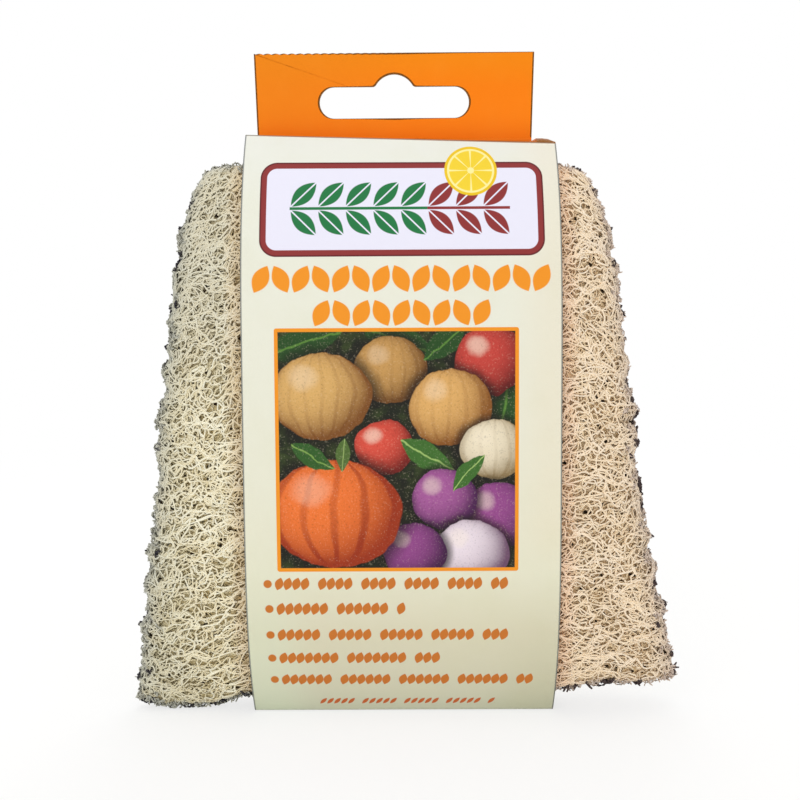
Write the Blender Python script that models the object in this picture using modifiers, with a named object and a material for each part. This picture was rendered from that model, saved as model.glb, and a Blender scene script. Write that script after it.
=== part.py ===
# Loofah scrub pad in a printed card band with a hang tab, all sizes in metres.
# +Z is up, the printed front faces -Y, and the origin is the top of the hanging slot,
# where a shop hook carries the pack. Heights in the functions are counted from the
# band's foot, and one empty carries every piece down below the hook.

import math

import bmesh
import bpy
from mathutils import Matrix, Vector

# Card band: one strip folded round the pad, open at its left and right.
card_thickness = 0.00045
piece_gap = 0.0003
band_width = 0.065
band_height = 0.123
band_middle_depth = 0.0258
band_foot_depth = 0.0064
band_top_depth = 0.0064
band_widest_share = 0.5
band_bulge_power = 4.0
top_crease_slant = 0.0021

# Hang tab: both ends of the strip, glued face to face and leaning forward.
tab_width = 0.059
tab_height = 0.0176
tab_lean = math.radians(12.0)
tab_shift = -0.0013
slot_width = 0.032
slot_height = 0.0064
slot_bump_width = 0.0082
slot_bump_rise = 0.0025
slot_foot_margin = 0.00445
glue_thickness = 0.0002
glue_clearance = 0.00005
glue_strip_height = 0.0024
glue_strip_inset = 0.002

# Loofah pad: a length of dried gourd pressed flat, wider at its foot.
pad_foot_width = 0.1218
pad_top_width = 0.086
pad_left_bow = 0.0006
pad_left_shoulder = 0.0026
pad_right_bow = -0.0012
pad_right_shoulder = 0.0039
pad_foot_shift = 0.0006
pad_top_shift = -0.0014
pad_left_foot_rise = 0.0001
pad_right_foot_rise = 0.0055
pad_left_top_drop = 0.0040
pad_right_top_drop = 0.0045
pad_foot_arch = 0.0022
pad_corner_draw = 0.0020
pad_corner_power = 15.0
pad_side_power = 6.0
pad_rim_thickness = 0.0012
core_depth = 0.0110
web_width = 0.0085
web_spacing = 0.0230
web_height_share = 0.88

# How finely the curved faces are divided.
panel_steps = 28
pad_steps_across = 21
pad_steps_up = 21
web_steps_across = 3
web_steps_up = 15
arc_steps = 10

# Sizes that follow from the ones above.
tab_half_thickness = card_thickness + glue_clearance + glue_thickness / 2
crease_back = band_top_depth / 2 - card_thickness
crease_height = band_height + tab_half_thickness + piece_gap
hang_reach = slot_foot_margin + slot_height + slot_bump_rise
hang_back = crease_back - hang_reach * math.sin(tab_lean)
hang_height = crease_height + hang_reach * math.cos(tab_lean)
panel_clearance = card_thickness + piece_gap


def clear_scene():
    for thing in list(bpy.data.objects):
        bpy.data.objects.remove(thing, do_unlink=True)


def finish(name, colour, roughness, metallic=0.0):
    """A Principled material."""
    material = bpy.data.materials.new(name)
    material.use_nodes = True
    shader = material.node_tree.nodes["Principled BSDF"]
    shader.inputs["Base Color"].default_value = (*colour, 1.0)
    shader.inputs["Roughness"].default_value = roughness
    shader.inputs["Metallic"].default_value = metallic
    return material


def empty_at(name, place, turn, parent, collection):
    """An empty that carries other pieces."""
    empty = bpy.data.objects.new(name, None)
    empty.location = place
    empty.rotation_euler = (turn, 0, 0)
    empty.parent = parent
    collection.objects.link(empty)
    return empty


def piece(name, data, material, parent, collection, place=(0, 0, 0), turn=0):
    """One named sub-part, placed under the empty that carries it."""
    made = bpy.data.objects.new(name, data)
    made.location = place
    made.rotation_euler = (turn, 0, 0)
    made.parent = parent
    data.materials.append(material)
    collection.objects.link(made)
    return made


def smooth(mesh):
    mesh.shade_smooth()
    mesh.set_sharp_from_angle(angle=math.radians(40))


def box_mesh(name, low, high):
    """A box primitive between two corners."""
    shape = bmesh.new()
    bmesh.ops.create_cube(shape, size=1)
    low, high = Vector(low), Vector(high)
    sides = Matrix.Diagonal((*(high - low), 1))
    bmesh.ops.transform(shape, matrix=Matrix.Translation((low + high) / 2) @ sides, verts=shape.verts)
    mesh = bpy.data.meshes.new(name)
    shape.to_mesh(mesh)
    shape.free()
    return mesh


def edges_along(shape, axis):
    """The edges of a mesh that run along one axis: 0 is X, 1 is Y and 2 is Z."""
    found = []
    for edge in shape.edges:
        run = edge.verts[1].co - edge.verts[0].co
        if abs(run[axis]) == max(abs(side) for side in run):
            found.append(edge)
    return found


def moulded_block(name, steps_across, steps_up, place_point):
    """A cube from -1 to 1, divided across and up, each corner moved to where place_point puts it."""
    shape = bmesh.new()
    bmesh.ops.create_cube(shape, size=2)
    for axis, steps in ((0, steps_across), (2, steps_up)):
        bmesh.ops.subdivide_edges(
            shape, edges=edges_along(shape, axis), cuts=steps, use_grid_fill=True
        )
    for vertex in shape.verts:
        vertex.co = place_point(*vertex.co)
    bmesh.ops.recalc_face_normals(shape, faces=shape.faces)
    mesh = bpy.data.meshes.new(name)
    shape.to_mesh(mesh)
    shape.free()
    smooth(mesh)
    return mesh


def band_bulge(height):
    """How far the bulge has sunk below its widest height, and how steeply it slopes there."""
    widest = band_height * band_widest_share
    below = height < widest
    end_depth = band_foot_depth if below else band_top_depth
    reach = widest if below else band_height - widest
    share = min(abs(height - widest) / reach, 1)
    bulge = (band_middle_depth - end_depth) / 2
    slope = band_bulge_power * bulge / reach * share ** (band_bulge_power - 1)
    return bulge * share**band_bulge_power, slope


def band_half_depth(height):
    """Half the band's outer depth at a height."""
    return band_middle_depth / 2 - band_bulge(height)[0]


def across_slope(thickness, height):
    """A thickness that lies square to the sloping panel, measured along Y instead."""
    return thickness * math.hypot(1, band_bulge(height)[1])


def wall_panel(name, side, foot, top, slant=0.0):
    """The front (side -1) or back (side 1) panel: an open sheet on the band's bulge, with its top
    edge higher at the left by the slant and lower at the right."""
    shape = bmesh.new()
    bmesh.ops.create_grid(shape, x_segments=1, y_segments=panel_steps, size=1)
    for vertex in shape.verts:
        across, up, _ = vertex.co
        height = foot + (top - across * slant - foot) * (up + 1) / 2
        vertex.co = (across * band_width / 2, side * band_half_depth(height), height)
    shape.normal_update()
    if sum(face.normal.y for face in shape.faces) * side < 0:
        bmesh.ops.reverse_faces(shape, faces=shape.faces)
    mesh = bpy.data.meshes.new(name)
    shape.to_mesh(mesh)
    shape.free()
    smooth(mesh)
    return mesh


def thicken(made):
    """Gives an open sheet the card's thickness, on its inner side."""
    wall = made.modifiers.new("card", "SOLIDIFY")
    wall.thickness = card_thickness
    wall.offset = -1
    wall.use_even_offset = True


def arc(centre_x, centre_y, radius, start, end):
    """Points along an arc, its ends included."""
    turns = [start + (end - start) * step / arc_steps for step in range(arc_steps + 1)]
    return [(centre_x + radius * math.cos(t), centre_y + radius * math.sin(t)) for t in turns]


def slot_outline():
    """The hanging slot: round ends, straight edges and the shallow bump that centres it on a hook."""
    end_radius = slot_height / 2
    end_centre = slot_width / 2 - end_radius
    middle = slot_foot_margin + end_radius
    top = slot_foot_margin + slot_height
    half_bump = slot_bump_width / 2
    bump_radius = (half_bump**2 + slot_bump_rise**2) / (2 * slot_bump_rise)
    bump_centre = top + slot_bump_rise - bump_radius
    start = math.asin((top - bump_centre) / bump_radius)
    right = arc(end_centre, middle, end_radius, -math.pi / 2, math.pi / 2)
    bump = arc(0, bump_centre, bump_radius, start, math.pi - start)
    left = arc(-end_centre, middle, end_radius, math.pi / 2, 3 * math.pi / 2)
    return right + bump + left


def tab_outline():
    half = tab_width / 2
    return [(-half, 0), (half, 0), (half, tab_height), (-half, tab_height)]


def flat_curve(name, outlines, thickness):
    """A flat sheet cut to its outlines, the first outside and the rest holes."""
    curve = bpy.data.curves.new(name, "CURVE")
    curve.dimensions = "2D"
    curve.fill_mode = "BOTH"
    curve.extrude = thickness / 2
    for outline in outlines:
        spline = curve.splines.new("POLY")
        spline.points.add(len(outline) - 1)
        for point, (across, up) in zip(spline.points, outline):
            point.co = (across, up, 0, 1)
        spline.use_cyclic_u = True
    return curve


def add_band(carrier, collection):
    """The four panels of the card loop, each ending a piece gap from the next."""
    cream = finish("cream_card", (0.80, 0.78, 0.62), 0.55)
    orange = finish("orange_card", (0.90, 0.24, 0.02), 0.5)
    plain = finish("plain_card", (0.80, 0.78, 0.72), 0.7)
    foot = panel_clearance
    under_top = band_height - panel_clearance
    half_slant = top_crease_slant / 2
    front_sheet = wall_panel("front_panel", -1, foot, under_top, half_slant)
    thicken(piece("front_panel", front_sheet, cream, carrier, collection))
    back_sheet = wall_panel("back_panel", 1, foot, band_height)
    thicken(piece("back_panel", back_sheet, plain, carrier, collection))
    half_width = band_width / 2
    half_foot = band_foot_depth / 2
    bottom = box_mesh(
        "bottom_panel", (-half_width, -half_foot, 0), (half_width, half_foot, card_thickness)
    )
    piece("bottom_panel", bottom, cream, carrier, collection)
    top_back = band_top_depth / 2 - across_slope(panel_clearance, band_height)
    top_front = -band_top_depth / 2

    def top_point(across, through, up):
        y = top_front + (top_back - top_front) * (through + 1) / 2
        height = band_height - card_thickness * (1 - up) / 2
        return across * half_width, y, height - across * half_slant * (1 - through) / 2

    top = moulded_block("top_panel", 1, 0, top_point)
    piece("top_panel", top, orange, carrier, collection)


def add_tab(carrier, collection):
    """The two plies and the glue between them, hinged on the crease above the back panel."""
    orange = finish("orange_tab_card", (0.92, 0.28, 0.02), 0.5)
    glue = finish("clear_glue", (0.75, 0.70, 0.55), 0.3)
    crease = empty_at(
        "tab_crease_axis", (tab_shift, crease_back, crease_height), tab_lean, carrier, collection
    )
    ply_centre = glue_thickness / 2 + glue_clearance + card_thickness / 2
    for name, side in (("tab_front_ply", -1), ("tab_back_ply", 1)):
        outlines = [tab_outline(), slot_outline()]
        curve = flat_curve(name, outlines, card_thickness)
        piece(name, curve, orange, crease, collection, (0, side * ply_centre, 0), math.pi / 2)
    half_strip = tab_width / 2 - glue_strip_inset
    strip_foot = (slot_foot_margin - glue_strip_height) / 2
    strip = box_mesh(
        "tab_glue_strip",
        (-half_strip, -glue_thickness / 2, strip_foot),
        (half_strip, glue_thickness / 2, strip_foot + glue_strip_height),
    )
    piece("tab_glue_strip", strip, glue, crease, collection)


def spread(share):
    """Moves even steps from -1 to 1 closer together towards both ends."""
    return math.sin(share * math.pi / 2)


def pad_place(across, up):
    """A point of the pad's outline plane. The foot rises from the bottom panel and the top drops from
    the top panel, each by its own amount at the left and right. Each side bows by an amount of its
    own, with a shoulder that stands out above the middle and sinks in below it; the foot arches up
    and the corners draw in."""
    right, high = (across + 1) / 2, (up + 1) / 2
    half_width = (pad_foot_width + (pad_top_width - pad_foot_width) * high) / 2
    bow = pad_left_bow + (pad_right_bow - pad_left_bow) * right
    shoulder = pad_left_shoulder + (pad_right_shoulder - pad_left_shoulder) * right
    half_width += (bow + shoulder * up) * (1 - up**2) - pad_corner_draw * abs(up) ** pad_corner_power
    middle = pad_foot_shift + (pad_top_shift - pad_foot_shift) * high
    foot = panel_clearance + pad_left_foot_rise + (pad_right_foot_rise - pad_left_foot_rise) * right
    foot += pad_foot_arch * (1 - across**2)
    drop = pad_left_top_drop + (pad_right_top_drop - pad_left_top_drop) * right
    top = band_height - panel_clearance - drop
    draw = up * pad_corner_draw * abs(across) ** pad_corner_power
    return middle + across * half_width, foot + (top - foot) * high - draw


def pad_half_depth(across, height):
    """Half the pad's thickness: it fills the band's bulge and rounds off to its rim at both sides."""
    fill = band_half_depth(height) - across_slope(panel_clearance, height)
    crown = math.sqrt(1 - abs(across) ** pad_side_power)
    return pad_rim_thickness + (fill - pad_rim_thickness) * crown


def core_half_depth(across, up):
    """Half the space between the two walls: a flat lens that closes to a piece gap at the rim."""
    return piece_gap / 2 + core_depth / 2 * (1 - across**2) * (1 - up**2)


def pad_wall(name, side):
    """One pressed wall of the gourd: crowned outside, and hollowed inside round the core."""

    def place_point(across, through, up):
        across, up = spread(across), spread(up)
        x, height = pad_place(across, up)
        outer = pad_half_depth(across, height)
        inner = core_half_depth(across, up)
        return x, side * (outer if through * side > 0 else inner), height

    return moulded_block(name, pad_steps_across, pad_steps_up, place_point)


def core_web(name, centre):
    """A rib of the core: it runs up the gourd and fills the lens between the two walls."""

    def place_point(across, through, up):
        up = up * web_height_share
        middle_half_width = (pad_foot_width + pad_top_width) / 4
        share = (centre + across * web_width / 2) / middle_half_width
        x, height = pad_place(share, up)
        return x, through * (core_half_depth(share, up) - piece_gap), height

    return moulded_block(name, web_steps_across, web_steps_up, place_point)


def add_pad(carrier, collection):
    """The pressed loofah: two walls that meet at the sides, and three webs of the core between them."""
    loofah = finish("loofah_fibre", (0.72, 0.62, 0.42), 0.85)
    core = finish("loofah_core_fibre", (0.78, 0.70, 0.50), 0.9)
    for name, side in (("loofah_front_wall", -1), ("loofah_back_wall", 1)):
        piece(name, pad_wall(name, side), loofah, carrier, collection)
    for place, step in (("left", -1), ("middle", 0), ("right", 1)):
        name = "core_web_" + place
        piece(name, core_web(name, step * web_spacing), core, carrier, collection)


def main():
    clear_scene()
    collection = bpy.data.collections.new("loofah_scrub_pad")
    bpy.context.scene.collection.children.link(collection)
    foot = empty_at("band_foot", (-tab_shift, -hang_back, -hang_height), 0, None, collection)
    add_band(foot, collection)
    add_tab(foot, collection)
    add_pad(foot, collection)


main()
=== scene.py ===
import math

import bpy
import numpy as np
from mathutils import Matrix, Vector


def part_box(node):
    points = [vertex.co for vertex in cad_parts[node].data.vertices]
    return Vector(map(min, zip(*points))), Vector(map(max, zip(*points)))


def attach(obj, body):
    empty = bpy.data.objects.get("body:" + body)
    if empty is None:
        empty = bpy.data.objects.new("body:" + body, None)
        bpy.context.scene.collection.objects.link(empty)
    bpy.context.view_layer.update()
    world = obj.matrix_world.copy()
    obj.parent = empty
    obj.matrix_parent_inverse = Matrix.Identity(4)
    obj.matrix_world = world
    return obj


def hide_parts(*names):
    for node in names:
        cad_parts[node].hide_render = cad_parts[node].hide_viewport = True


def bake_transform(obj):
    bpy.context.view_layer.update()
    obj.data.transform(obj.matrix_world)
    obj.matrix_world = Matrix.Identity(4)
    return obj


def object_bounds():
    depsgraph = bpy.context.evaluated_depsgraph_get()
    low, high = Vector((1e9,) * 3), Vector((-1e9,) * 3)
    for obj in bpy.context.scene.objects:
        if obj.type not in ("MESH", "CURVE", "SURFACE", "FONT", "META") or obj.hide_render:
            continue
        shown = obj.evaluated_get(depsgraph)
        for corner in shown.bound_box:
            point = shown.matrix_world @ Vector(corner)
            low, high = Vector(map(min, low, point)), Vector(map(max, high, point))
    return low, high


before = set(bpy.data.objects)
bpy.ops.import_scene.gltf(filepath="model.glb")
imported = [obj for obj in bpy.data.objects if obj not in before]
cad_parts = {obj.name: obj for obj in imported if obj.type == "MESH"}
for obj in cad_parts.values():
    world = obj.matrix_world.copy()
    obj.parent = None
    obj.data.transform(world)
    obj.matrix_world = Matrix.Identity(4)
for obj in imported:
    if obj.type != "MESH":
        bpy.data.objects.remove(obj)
cadLow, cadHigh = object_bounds()

# The band's foot: the middle of the underside of the bottom panel
bottomLow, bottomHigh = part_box("bottom_panel")
footPlace = np.array([(bottomLow.x + bottomHigh.x) / 2, (bottomLow.y + bottomHigh.y) / 2, bottomLow.z])
mm = 0.001


# One output in a node tree. Sums on it add Math nodes, and every other node comes from node().
class Wire:
    def __init__(self, tree, out=None):
        self.tree = tree
        self.out = out

    # A node of any type: its settings, the values or links of its inputs, and the output wanted
    def node(self, kind, settings=None, values=None, output=0):
        made = self.tree.nodes.new(kind)
        for name, value in (settings or {}).items():
            if name == "stops":
                stops = made.color_ramp.elements
                for spare in list(stops)[1:]:
                    stops.remove(spare)
                for number, (place, shade) in enumerate(value):
                    stop = stops.new(place) if number else stops[0]
                    stop.position = place
                    stop.color = shade
            else:
                setattr(made, name, value)
        for key, value in (values or {}).items():
            if isinstance(value, Wire):
                self.tree.links.new(value.out, made.inputs[key])
            else:
                made.inputs[key].default_value = value
        return Wire(self.tree, made.outputs[output])

    def other(self, output):
        return Wire(self.tree, self.out.node.outputs[output])

    def maths(self, operation, *terms):
        return self.node("ShaderNodeMath", {"operation": operation}, dict(enumerate(terms)))

    def __add__(self, term):
        return self.maths("ADD", self, term)

    def __radd__(self, term):
        return self.maths("ADD", term, self)

    def __sub__(self, term):
        return self.maths("SUBTRACT", self, term)

    def __rsub__(self, term):
        return self.maths("SUBTRACT", term, self)

    def __mul__(self, term):
        return self.maths("MULTIPLY", self, term)

    def __rmul__(self, term):
        return self.maths("MULTIPLY", term, self)

    def __truediv__(self, term):
        return self.maths("DIVIDE", self, term)

    def __pow__(self, term):
        return self.maths("POWER", self, term)

    def __abs__(self):
        return self.maths("ABSOLUTE", self)

    # Held at or above a term, and held at or below it
    def least(self, term):
        return self.maths("MAXIMUM", self, term)

    def most(self, term):
        return self.maths("MINIMUM", self, term)

    # Rises smoothly from 0 at start to 1 at end, or falls where start is the greater
    def ease(self, start, end):
        settings = {"interpolation_type": "SMOOTHSTEP"}
        return self.node("ShaderNodeMapRange", settings, {0: self, 1: start, 2: end})

    # A colour between two others
    def blend(self, share, first, second, mode="MIX"):
        settings = {"data_type": "RGBA", "blend_type": mode}
        return self.node("ShaderNodeMix", settings, {0: share, 6: first, 7: second}, output=2)

    def noise(self, place, scale, detail=2.0, roughness=0.5):
        values = {"Vector": place, "Scale": scale, "Detail": detail, "Roughness": roughness}
        return self.node("ShaderNodeTexNoise", {}, values)


# A screen colour such as "EDEEE0" as the linear values that a socket takes
def ink(code):
    shades = np.array([int(code[start:start + 2], 16) / 255 for start in (0, 2, 4)])
    linear = np.where(shades <= 0.04045, shades / 12.92, ((shades + 0.055) / 1.055) ** 2.4)
    return (*linear.tolist(), 1.0)


# A new material, with a wire on its tree and its Principled shader's inputs
def newFinish(name, roughness, shine=0.5):
    made = bpy.data.materials.new(name)
    made.use_nodes = True
    shader = made.node_tree.nodes["Principled BSDF"]
    shader.inputs["Roughness"].default_value = roughness
    shader.inputs["Specular IOR Level"].default_value = shine
    return made, Wire(made.node_tree), shader.inputs


def plug(wire, socket):
    wire.tree.links.new(wire.out, socket)


def objectPlace(wire):
    return wire.node("ShaderNodeTexCoord", output="Object")


# The plain Object coordinates, and millimetres across and up from the band's foot
def cardPlaces(wire):
    place = objectPlace(wire)
    across = wire.node("ShaderNodeSeparateXYZ", {}, {0: place}, output="X")
    up = across.other("Z")
    return place, (across - float(footPlace[0])) * 1000.0, (up - float(footPlace[2])) * 1000.0


# Ends a finish: its colour, its roughness and its bump
def endFinish(inputs, canvas, roughness, height, strength, depth):
    plug(canvas, inputs["Base Color"])
    plug(roughness, inputs["Roughness"])
    values = {"Height": height, "Strength": strength, "Distance": depth}
    plug(canvas.node("ShaderNodeBump", {}, values), inputs["Normal"])


# Ends a card's finish, with paper tooth: two sizes of noise as a fine bump
def endPaper(inputs, canvas, roughness, place, depth):
    tooth = canvas.noise(place, 5200.0, 3.0) + canvas.noise(place, 900.0, 2.0) * 1.6
    endFinish(inputs, canvas, roughness, tooth, 0.35, depth)


print("shader tools ready")


# Camera, as fitted to the photograph, in metres from the band's foot and in degrees
camera = {
    "place": (0.00055, -0.19138, 0.07963),
    "yaw": 0.300,
    "pitch": -3.568,
    "roll": 0.341,
    "lens": 39.73,
    "sensor": 36.0,
}

# Studio: lamps as place, width, strength and colour; the sky shows white to the camera
studio = {
    "floorWidth": 6.0,
    "floorTint": "F8F8F6",
    "whiteShare": 0.72,
    "shadowReach": (0.16, 0.55),
    "skyLight": 0.75,
    "lamps": [
        ("key", (-0.42, -0.62, 0.30), 0.55, 1.30, "FFFCF8"),
        ("fill", (0.60, -0.55, 0.05), 0.60, 0.65, "FFFAF4"),
        ("rim", (0.10, 0.70, 0.45), 0.60, 1.4, "FFFFFF"),
        ("top", (0.0, 0.1, 1.0), 0.80, 2.6, "FFFFFF"),
    ],
}


def addCamera():
    data = bpy.data.cameras.new("camera")
    data.lens = camera["lens"]
    data.sensor_width = camera["sensor"]
    data.clip_start = 0.01
    data.clip_end = 20.0
    made = bpy.data.objects.new("camera", data)
    turn = Matrix.Rotation(math.radians(camera["yaw"]), 4, "Z")
    turn = turn @ Matrix.Rotation(math.radians(camera["pitch"]), 4, "X")
    turn = turn @ Matrix.Rotation(math.radians(camera["roll"]), 4, "Y")
    turn = turn @ Matrix.Rotation(math.radians(90.0), 4, "X")
    made.matrix_world = Matrix.Translation(Vector(footPlace) + Vector(camera["place"])) @ turn
    bpy.context.scene.collection.objects.link(made)
    bpy.context.scene.camera = made


def addLamps():
    target = Vector((0.0, 0.0, (cadLow.z + cadHigh.z) / 2))
    for name, place, width, strength, tint in studio["lamps"]:
        data = bpy.data.lights.new(name, "AREA")
        data.shape = "SQUARE"
        data.size = width
        data.energy = strength
        data.color = ink(tint)[:3]
        made = bpy.data.objects.new(name, data)
        made.location = place
        made.rotation_euler = (target - Vector(place)).to_track_quat("-Z", "Y").to_euler()
        bpy.context.scene.collection.objects.link(made)


# The sky: soft light for the object, and plain white for what looks straight at it
def addSky():
    world = bpy.data.worlds.new("sky")
    world.use_nodes = True
    bpy.context.scene.world = world
    wire = Wire(world.node_tree)
    path = wire.node("ShaderNodeLightPath", output="Is Camera Ray")
    seen = path.least(path.other("Is Glossy Ray")).least(path.other("Is Transmission Ray"))
    background = world.node_tree.nodes["Background"]
    background.inputs["Color"].default_value = (1.0, 1.0, 1.0, 1.0)
    plug(seen * (1.0 - studio["skyLight"]) + studio["skyLight"], background.inputs["Strength"])


# Floor: a wide plane at the foot of the object. What the camera sees of it is mostly plain white,
# with a light shadow left in it near the object.
def addFloor():
    bpy.ops.mesh.primitive_plane_add(size=studio["floorWidth"], location=(0.0, 0.0, cadLow.z - 0.0001))
    made = bpy.context.object
    made.name = "floor"
    finish, wire, inputs = newFinish("pale floor", 0.9, 0.1)
    inputs["Base Color"].default_value = ink(studio["floorTint"])
    shader = finish.node_tree.nodes["Principled BSDF"]
    path = wire.node("ShaderNodeLightPath", output="Is Camera Ray")
    place = objectPlace(wire)
    away = wire.node("ShaderNodeVectorMath", {"operation": "LENGTH"}, {0: place}, output="Value")
    near, far = studio["shadowReach"]
    share = away.ease(near, far) * (1.0 - studio["whiteShare"]) + studio["whiteShare"]
    glow = wire.node("ShaderNodeEmission", {}, {"Color": (1, 1, 1, 1), "Strength": 1.0})
    values = {0: path * share, 1: Wire(finish.node_tree, shader.outputs[0]), 2: glow}
    shown = wire.node("ShaderNodeMixShader", {}, values)
    plug(shown, finish.node_tree.nodes["Material Output"].inputs["Surface"])
    made.data.materials.append(finish)


addCamera()
addLamps()
addSky()
addFloor()
bpy.context.scene.view_settings.view_transform = "Standard"
print("studio ready")


# Folded card band and its tab, in metres as in the CAD; heights are counted from the band's foot
card = {
    "thickness": 0.00045,
    "width": 0.065,
    "height": 0.123,
    "middleDepth": 0.0258,
    "endDepth": 0.0064,
    "bulgePower": 4.0,
    "fold": 0.0008,
    "halfSlant": 0.00105,
    "topBow": 0.0007,
    "topBowShares": (0.864, 0.872, 0.955, 0.992),
    "sharpAngle": 35,
    "stepsAcross": 52,
    "stepsUp": 120,
    "stepsFold": 6,
    "stepsCorner": 9,
    "stepsFoot": 8,
    "stepsTop": 12,
}


# Prints on the card, in millimetres across and up from its foot
printed = {
    "labelMiddle": (0.2, 107.4),
    "labelHalf": (28.9, 9.9),
    "labelCorner": 3.4,
    "labelBorder": 1.35,
    "pictureMiddle": (-1.05, 58.15),
    "pictureHalf": (24.75, 24.95),
    "pictureCorner": 0.5,
    "pictureBorder": 0.75,
    "sliceSpot": (14.4, 115.4),
    "branchPitch": 5.6,
    "branchTurn": 0.78,
    "seedPitch": 1.78,
    "seedSize": (2.9, 1.9),
    "seedTurn": 1.25,
    "cream": [
        (0.0, "D1D4BE"), (0.08, "D6D4BC"), (0.16, "DAD6BC"), (0.27, "E4E3CC"), (0.5, "E7E7D6"),
        (0.88, "E8E9DC"), (1.0, "E8EAE2"),
    ],
    # Tints of the cream, the first a painted shade at the lower right where the panel curves away:
    # across from and to, up from and to, share and colour
    "tintsAndShade": [
        ((12.0, 32.0), (34.0, 2.0), 0.4, "BDBA98"),
        ((-16.0, -29.0), (44.0, 12.0), 0.4, "DDEAD0"),
        ((20.0, 31.0), (30.0, 44.0), 0.25, "EAD6B4"),
    ],
    # Rows of leaves: their ends, height and size
    "leafRows": [((-30.4, 30.4), 93.0, (6.3, 3.6)), ((-18.2, 18.2), 86.1, (6.1, 3.6))],
    "leafPitch": 4.05,
    "leafTurn": 1.1,
    "maroon": "8C3030",
    "lavender": "E9E8F8",
    "green": "1C7540",
    "orange": "F0941E",
    "wording": "C8742A",
    # Lines of seeds: start, how many, height, and how many to a word
    "lines": [
        (-28.8, 28, 30.6, 5), (-28.6, 16, 25.2, 7), (-28.6, 28, 19.4, 6), (-28.5, 20, 14.0, 8),
        (-28.3, 31, 8.7, 7),
    ],
    "backLines": [
        (-24.0, 25, 90.0, 6), (-24.0, 22, 84.0, 5), (-24.0, 24, 78.0, 7), (-24.0, 14, 72.0, 8),
        (-24.0, 23, 60.0, 5), (-24.0, 25, 54.0, 7), (-24.0, 18, 48.0, 6),
    ],
}


# The colours of a ramp from its places and codes
def rampStops(stops):
    return {"stops": [(place, ink(code)) for place, code in stops]}


def distance(sideways, upwards):
    return (sideways * sideways + upwards * upwards) ** 0.5


# How far inside a leaning lens a point lies, and how far beside its midrib: the lens's half width
# shrinks with the square of the way along it
def lens(sideways, upwards, size, turn):
    cosine, sine = math.cos(turn), math.sin(turn)
    along = (sideways * cosine + upwards * sine) * (2.0 / size[0])
    aside = abs(upwards * cosine - sideways * sine) * (2.0 / size[1])
    return 1.0 - along * along - aside, aside


# Cells of one pitch from a start: a cell's number, and the way from its middle
def cells(x, start, pitch):
    step = (x - start) / pitch
    number = step.maths("FLOOR", step)
    return number, (step - number - 0.5) * pitch


def between(x, ends):
    return (x - ends[0]).ease(-0.02, 0.02) * (x - ends[1]).ease(0.02, -0.02)


# A leaf: a lens with a pale midrib
def leaf(wire, canvas, x, h, spot, size, dark, light, turn):
    edge, aside = lens(x - spot[0], h - spot[1], size, turn)
    body = wire.blend(aside.ease(0.10, 0.02) * 0.8, dark, light)
    return wire.blend(edge.ease(0.0, 0.12), canvas, body)


# A row of leaves, each in a cell of its own. Every second one tilts the other way if turnabout is
# set, and one cell in so many stays empty if gaps is set.
def leafRow(wire, canvas, x, h, ends, height, pitch, size, turn, shade, turnabout=True, gaps=0):
    number, sideways = cells(x, ends[0], pitch)
    upwards = h - height
    if turnabout:
        upwards = upwards * (1.0 - number.maths("MODULO", number, 2.0) * 2.0)
    mask = lens(sideways, upwards, size, turn)[0].ease(0.0, 0.14) * between(x, ends)
    if gaps:
        mask = mask * number.maths("MODULO", number, float(gaps)).ease(0.4, 0.6)
    return wire.blend(mask, canvas, shade)


# Lines of seeds like words: each has a dot, then leaning seeds with a gap after every few
def seedLines(wire, canvas, x, h, lines, shade):
    pitch, size, turn = printed["seedPitch"], printed["seedSize"], printed["seedTurn"]
    for start, count, height, gaps in lines:
        ends = (start + 0.6, start + 0.6 + count * pitch)
        canvas = leafRow(wire, canvas, x, h, ends, height, pitch, size, turn, shade, False, gaps)
        dot = distance(x - (start + 0.9), h - height)
        canvas = wire.blend(dot.ease(0.95, 0.78), canvas, shade)
    return canvas


# A branch: a stem with a pair of leaves in each cell, the lower leaf the mirror of the upper
def branch(wire, canvas, x, h, ends, height, size, shade):
    turn = printed["branchTurn"]
    sideways = cells(x, ends[0], printed["branchPitch"])[1]
    upwards = abs(h - height) - size[0] * math.sin(turn) / 2 - 0.35
    edge, aside = lens(sideways, upwards, size, turn)
    leaves = edge.ease(0.0, 0.10) * aside.ease(0.06, 0.10)
    stem = abs(h - height).ease(0.34, 0.24)
    return wire.blend(leaves.least(stem) * between(x, ends), canvas, shade)


# A round fruit: an ellipse lit from the upper left, with ribs or streaks if asked, a soft highlight
# by its gloss, and a shade round it
def fruit(wire, canvas, x, h, spot, size, dark, light, gloss=0.3, ribs=0.0, ribDepth=0.2):
    across = (x - spot[0]) / size[0]
    up = (h - spot[1]) / size[1]
    reach = across * across + up * up
    crown = (1.0 - reach).least(0.0) ** 0.5
    lit = crown * 0.66 + (up - across) * 0.24
    if ribs:
        turn = across / ((1.03 - up * up).least(0.03) ** 0.5) * ribs
        wave = turn.maths("COSINE", turn) ** 2.0
        lit = lit - wave.ease(0.70, 1.0) * ribDepth
    body = wire.blend(lit.ease(-0.05, 0.85), dark, light)
    shine = (across + 0.36) * (across + 0.36) + (up - 0.44) * (up - 0.44)
    body = wire.blend(shine.ease(0.14, 0.0) * gloss, body, ink("FFF2DC"))
    canvas = wire.blend(reach.ease(1.7, 0.95) * 0.8, canvas, ink("100A05"))
    return wire.blend(reach.ease(1.03, 0.97), canvas, body)


# How far a point lies outside a box with rounded corners, less than 0 inside
def boxReach(x, h, middle, half, corner):
    past = abs(x - middle[0]) - (half[0] - corner)
    over = abs(h - middle[1]) - (half[1] - corner)
    return distance(past.least(0.0), over.least(0.0)) + past.least(over).most(0.0) - corner


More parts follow.
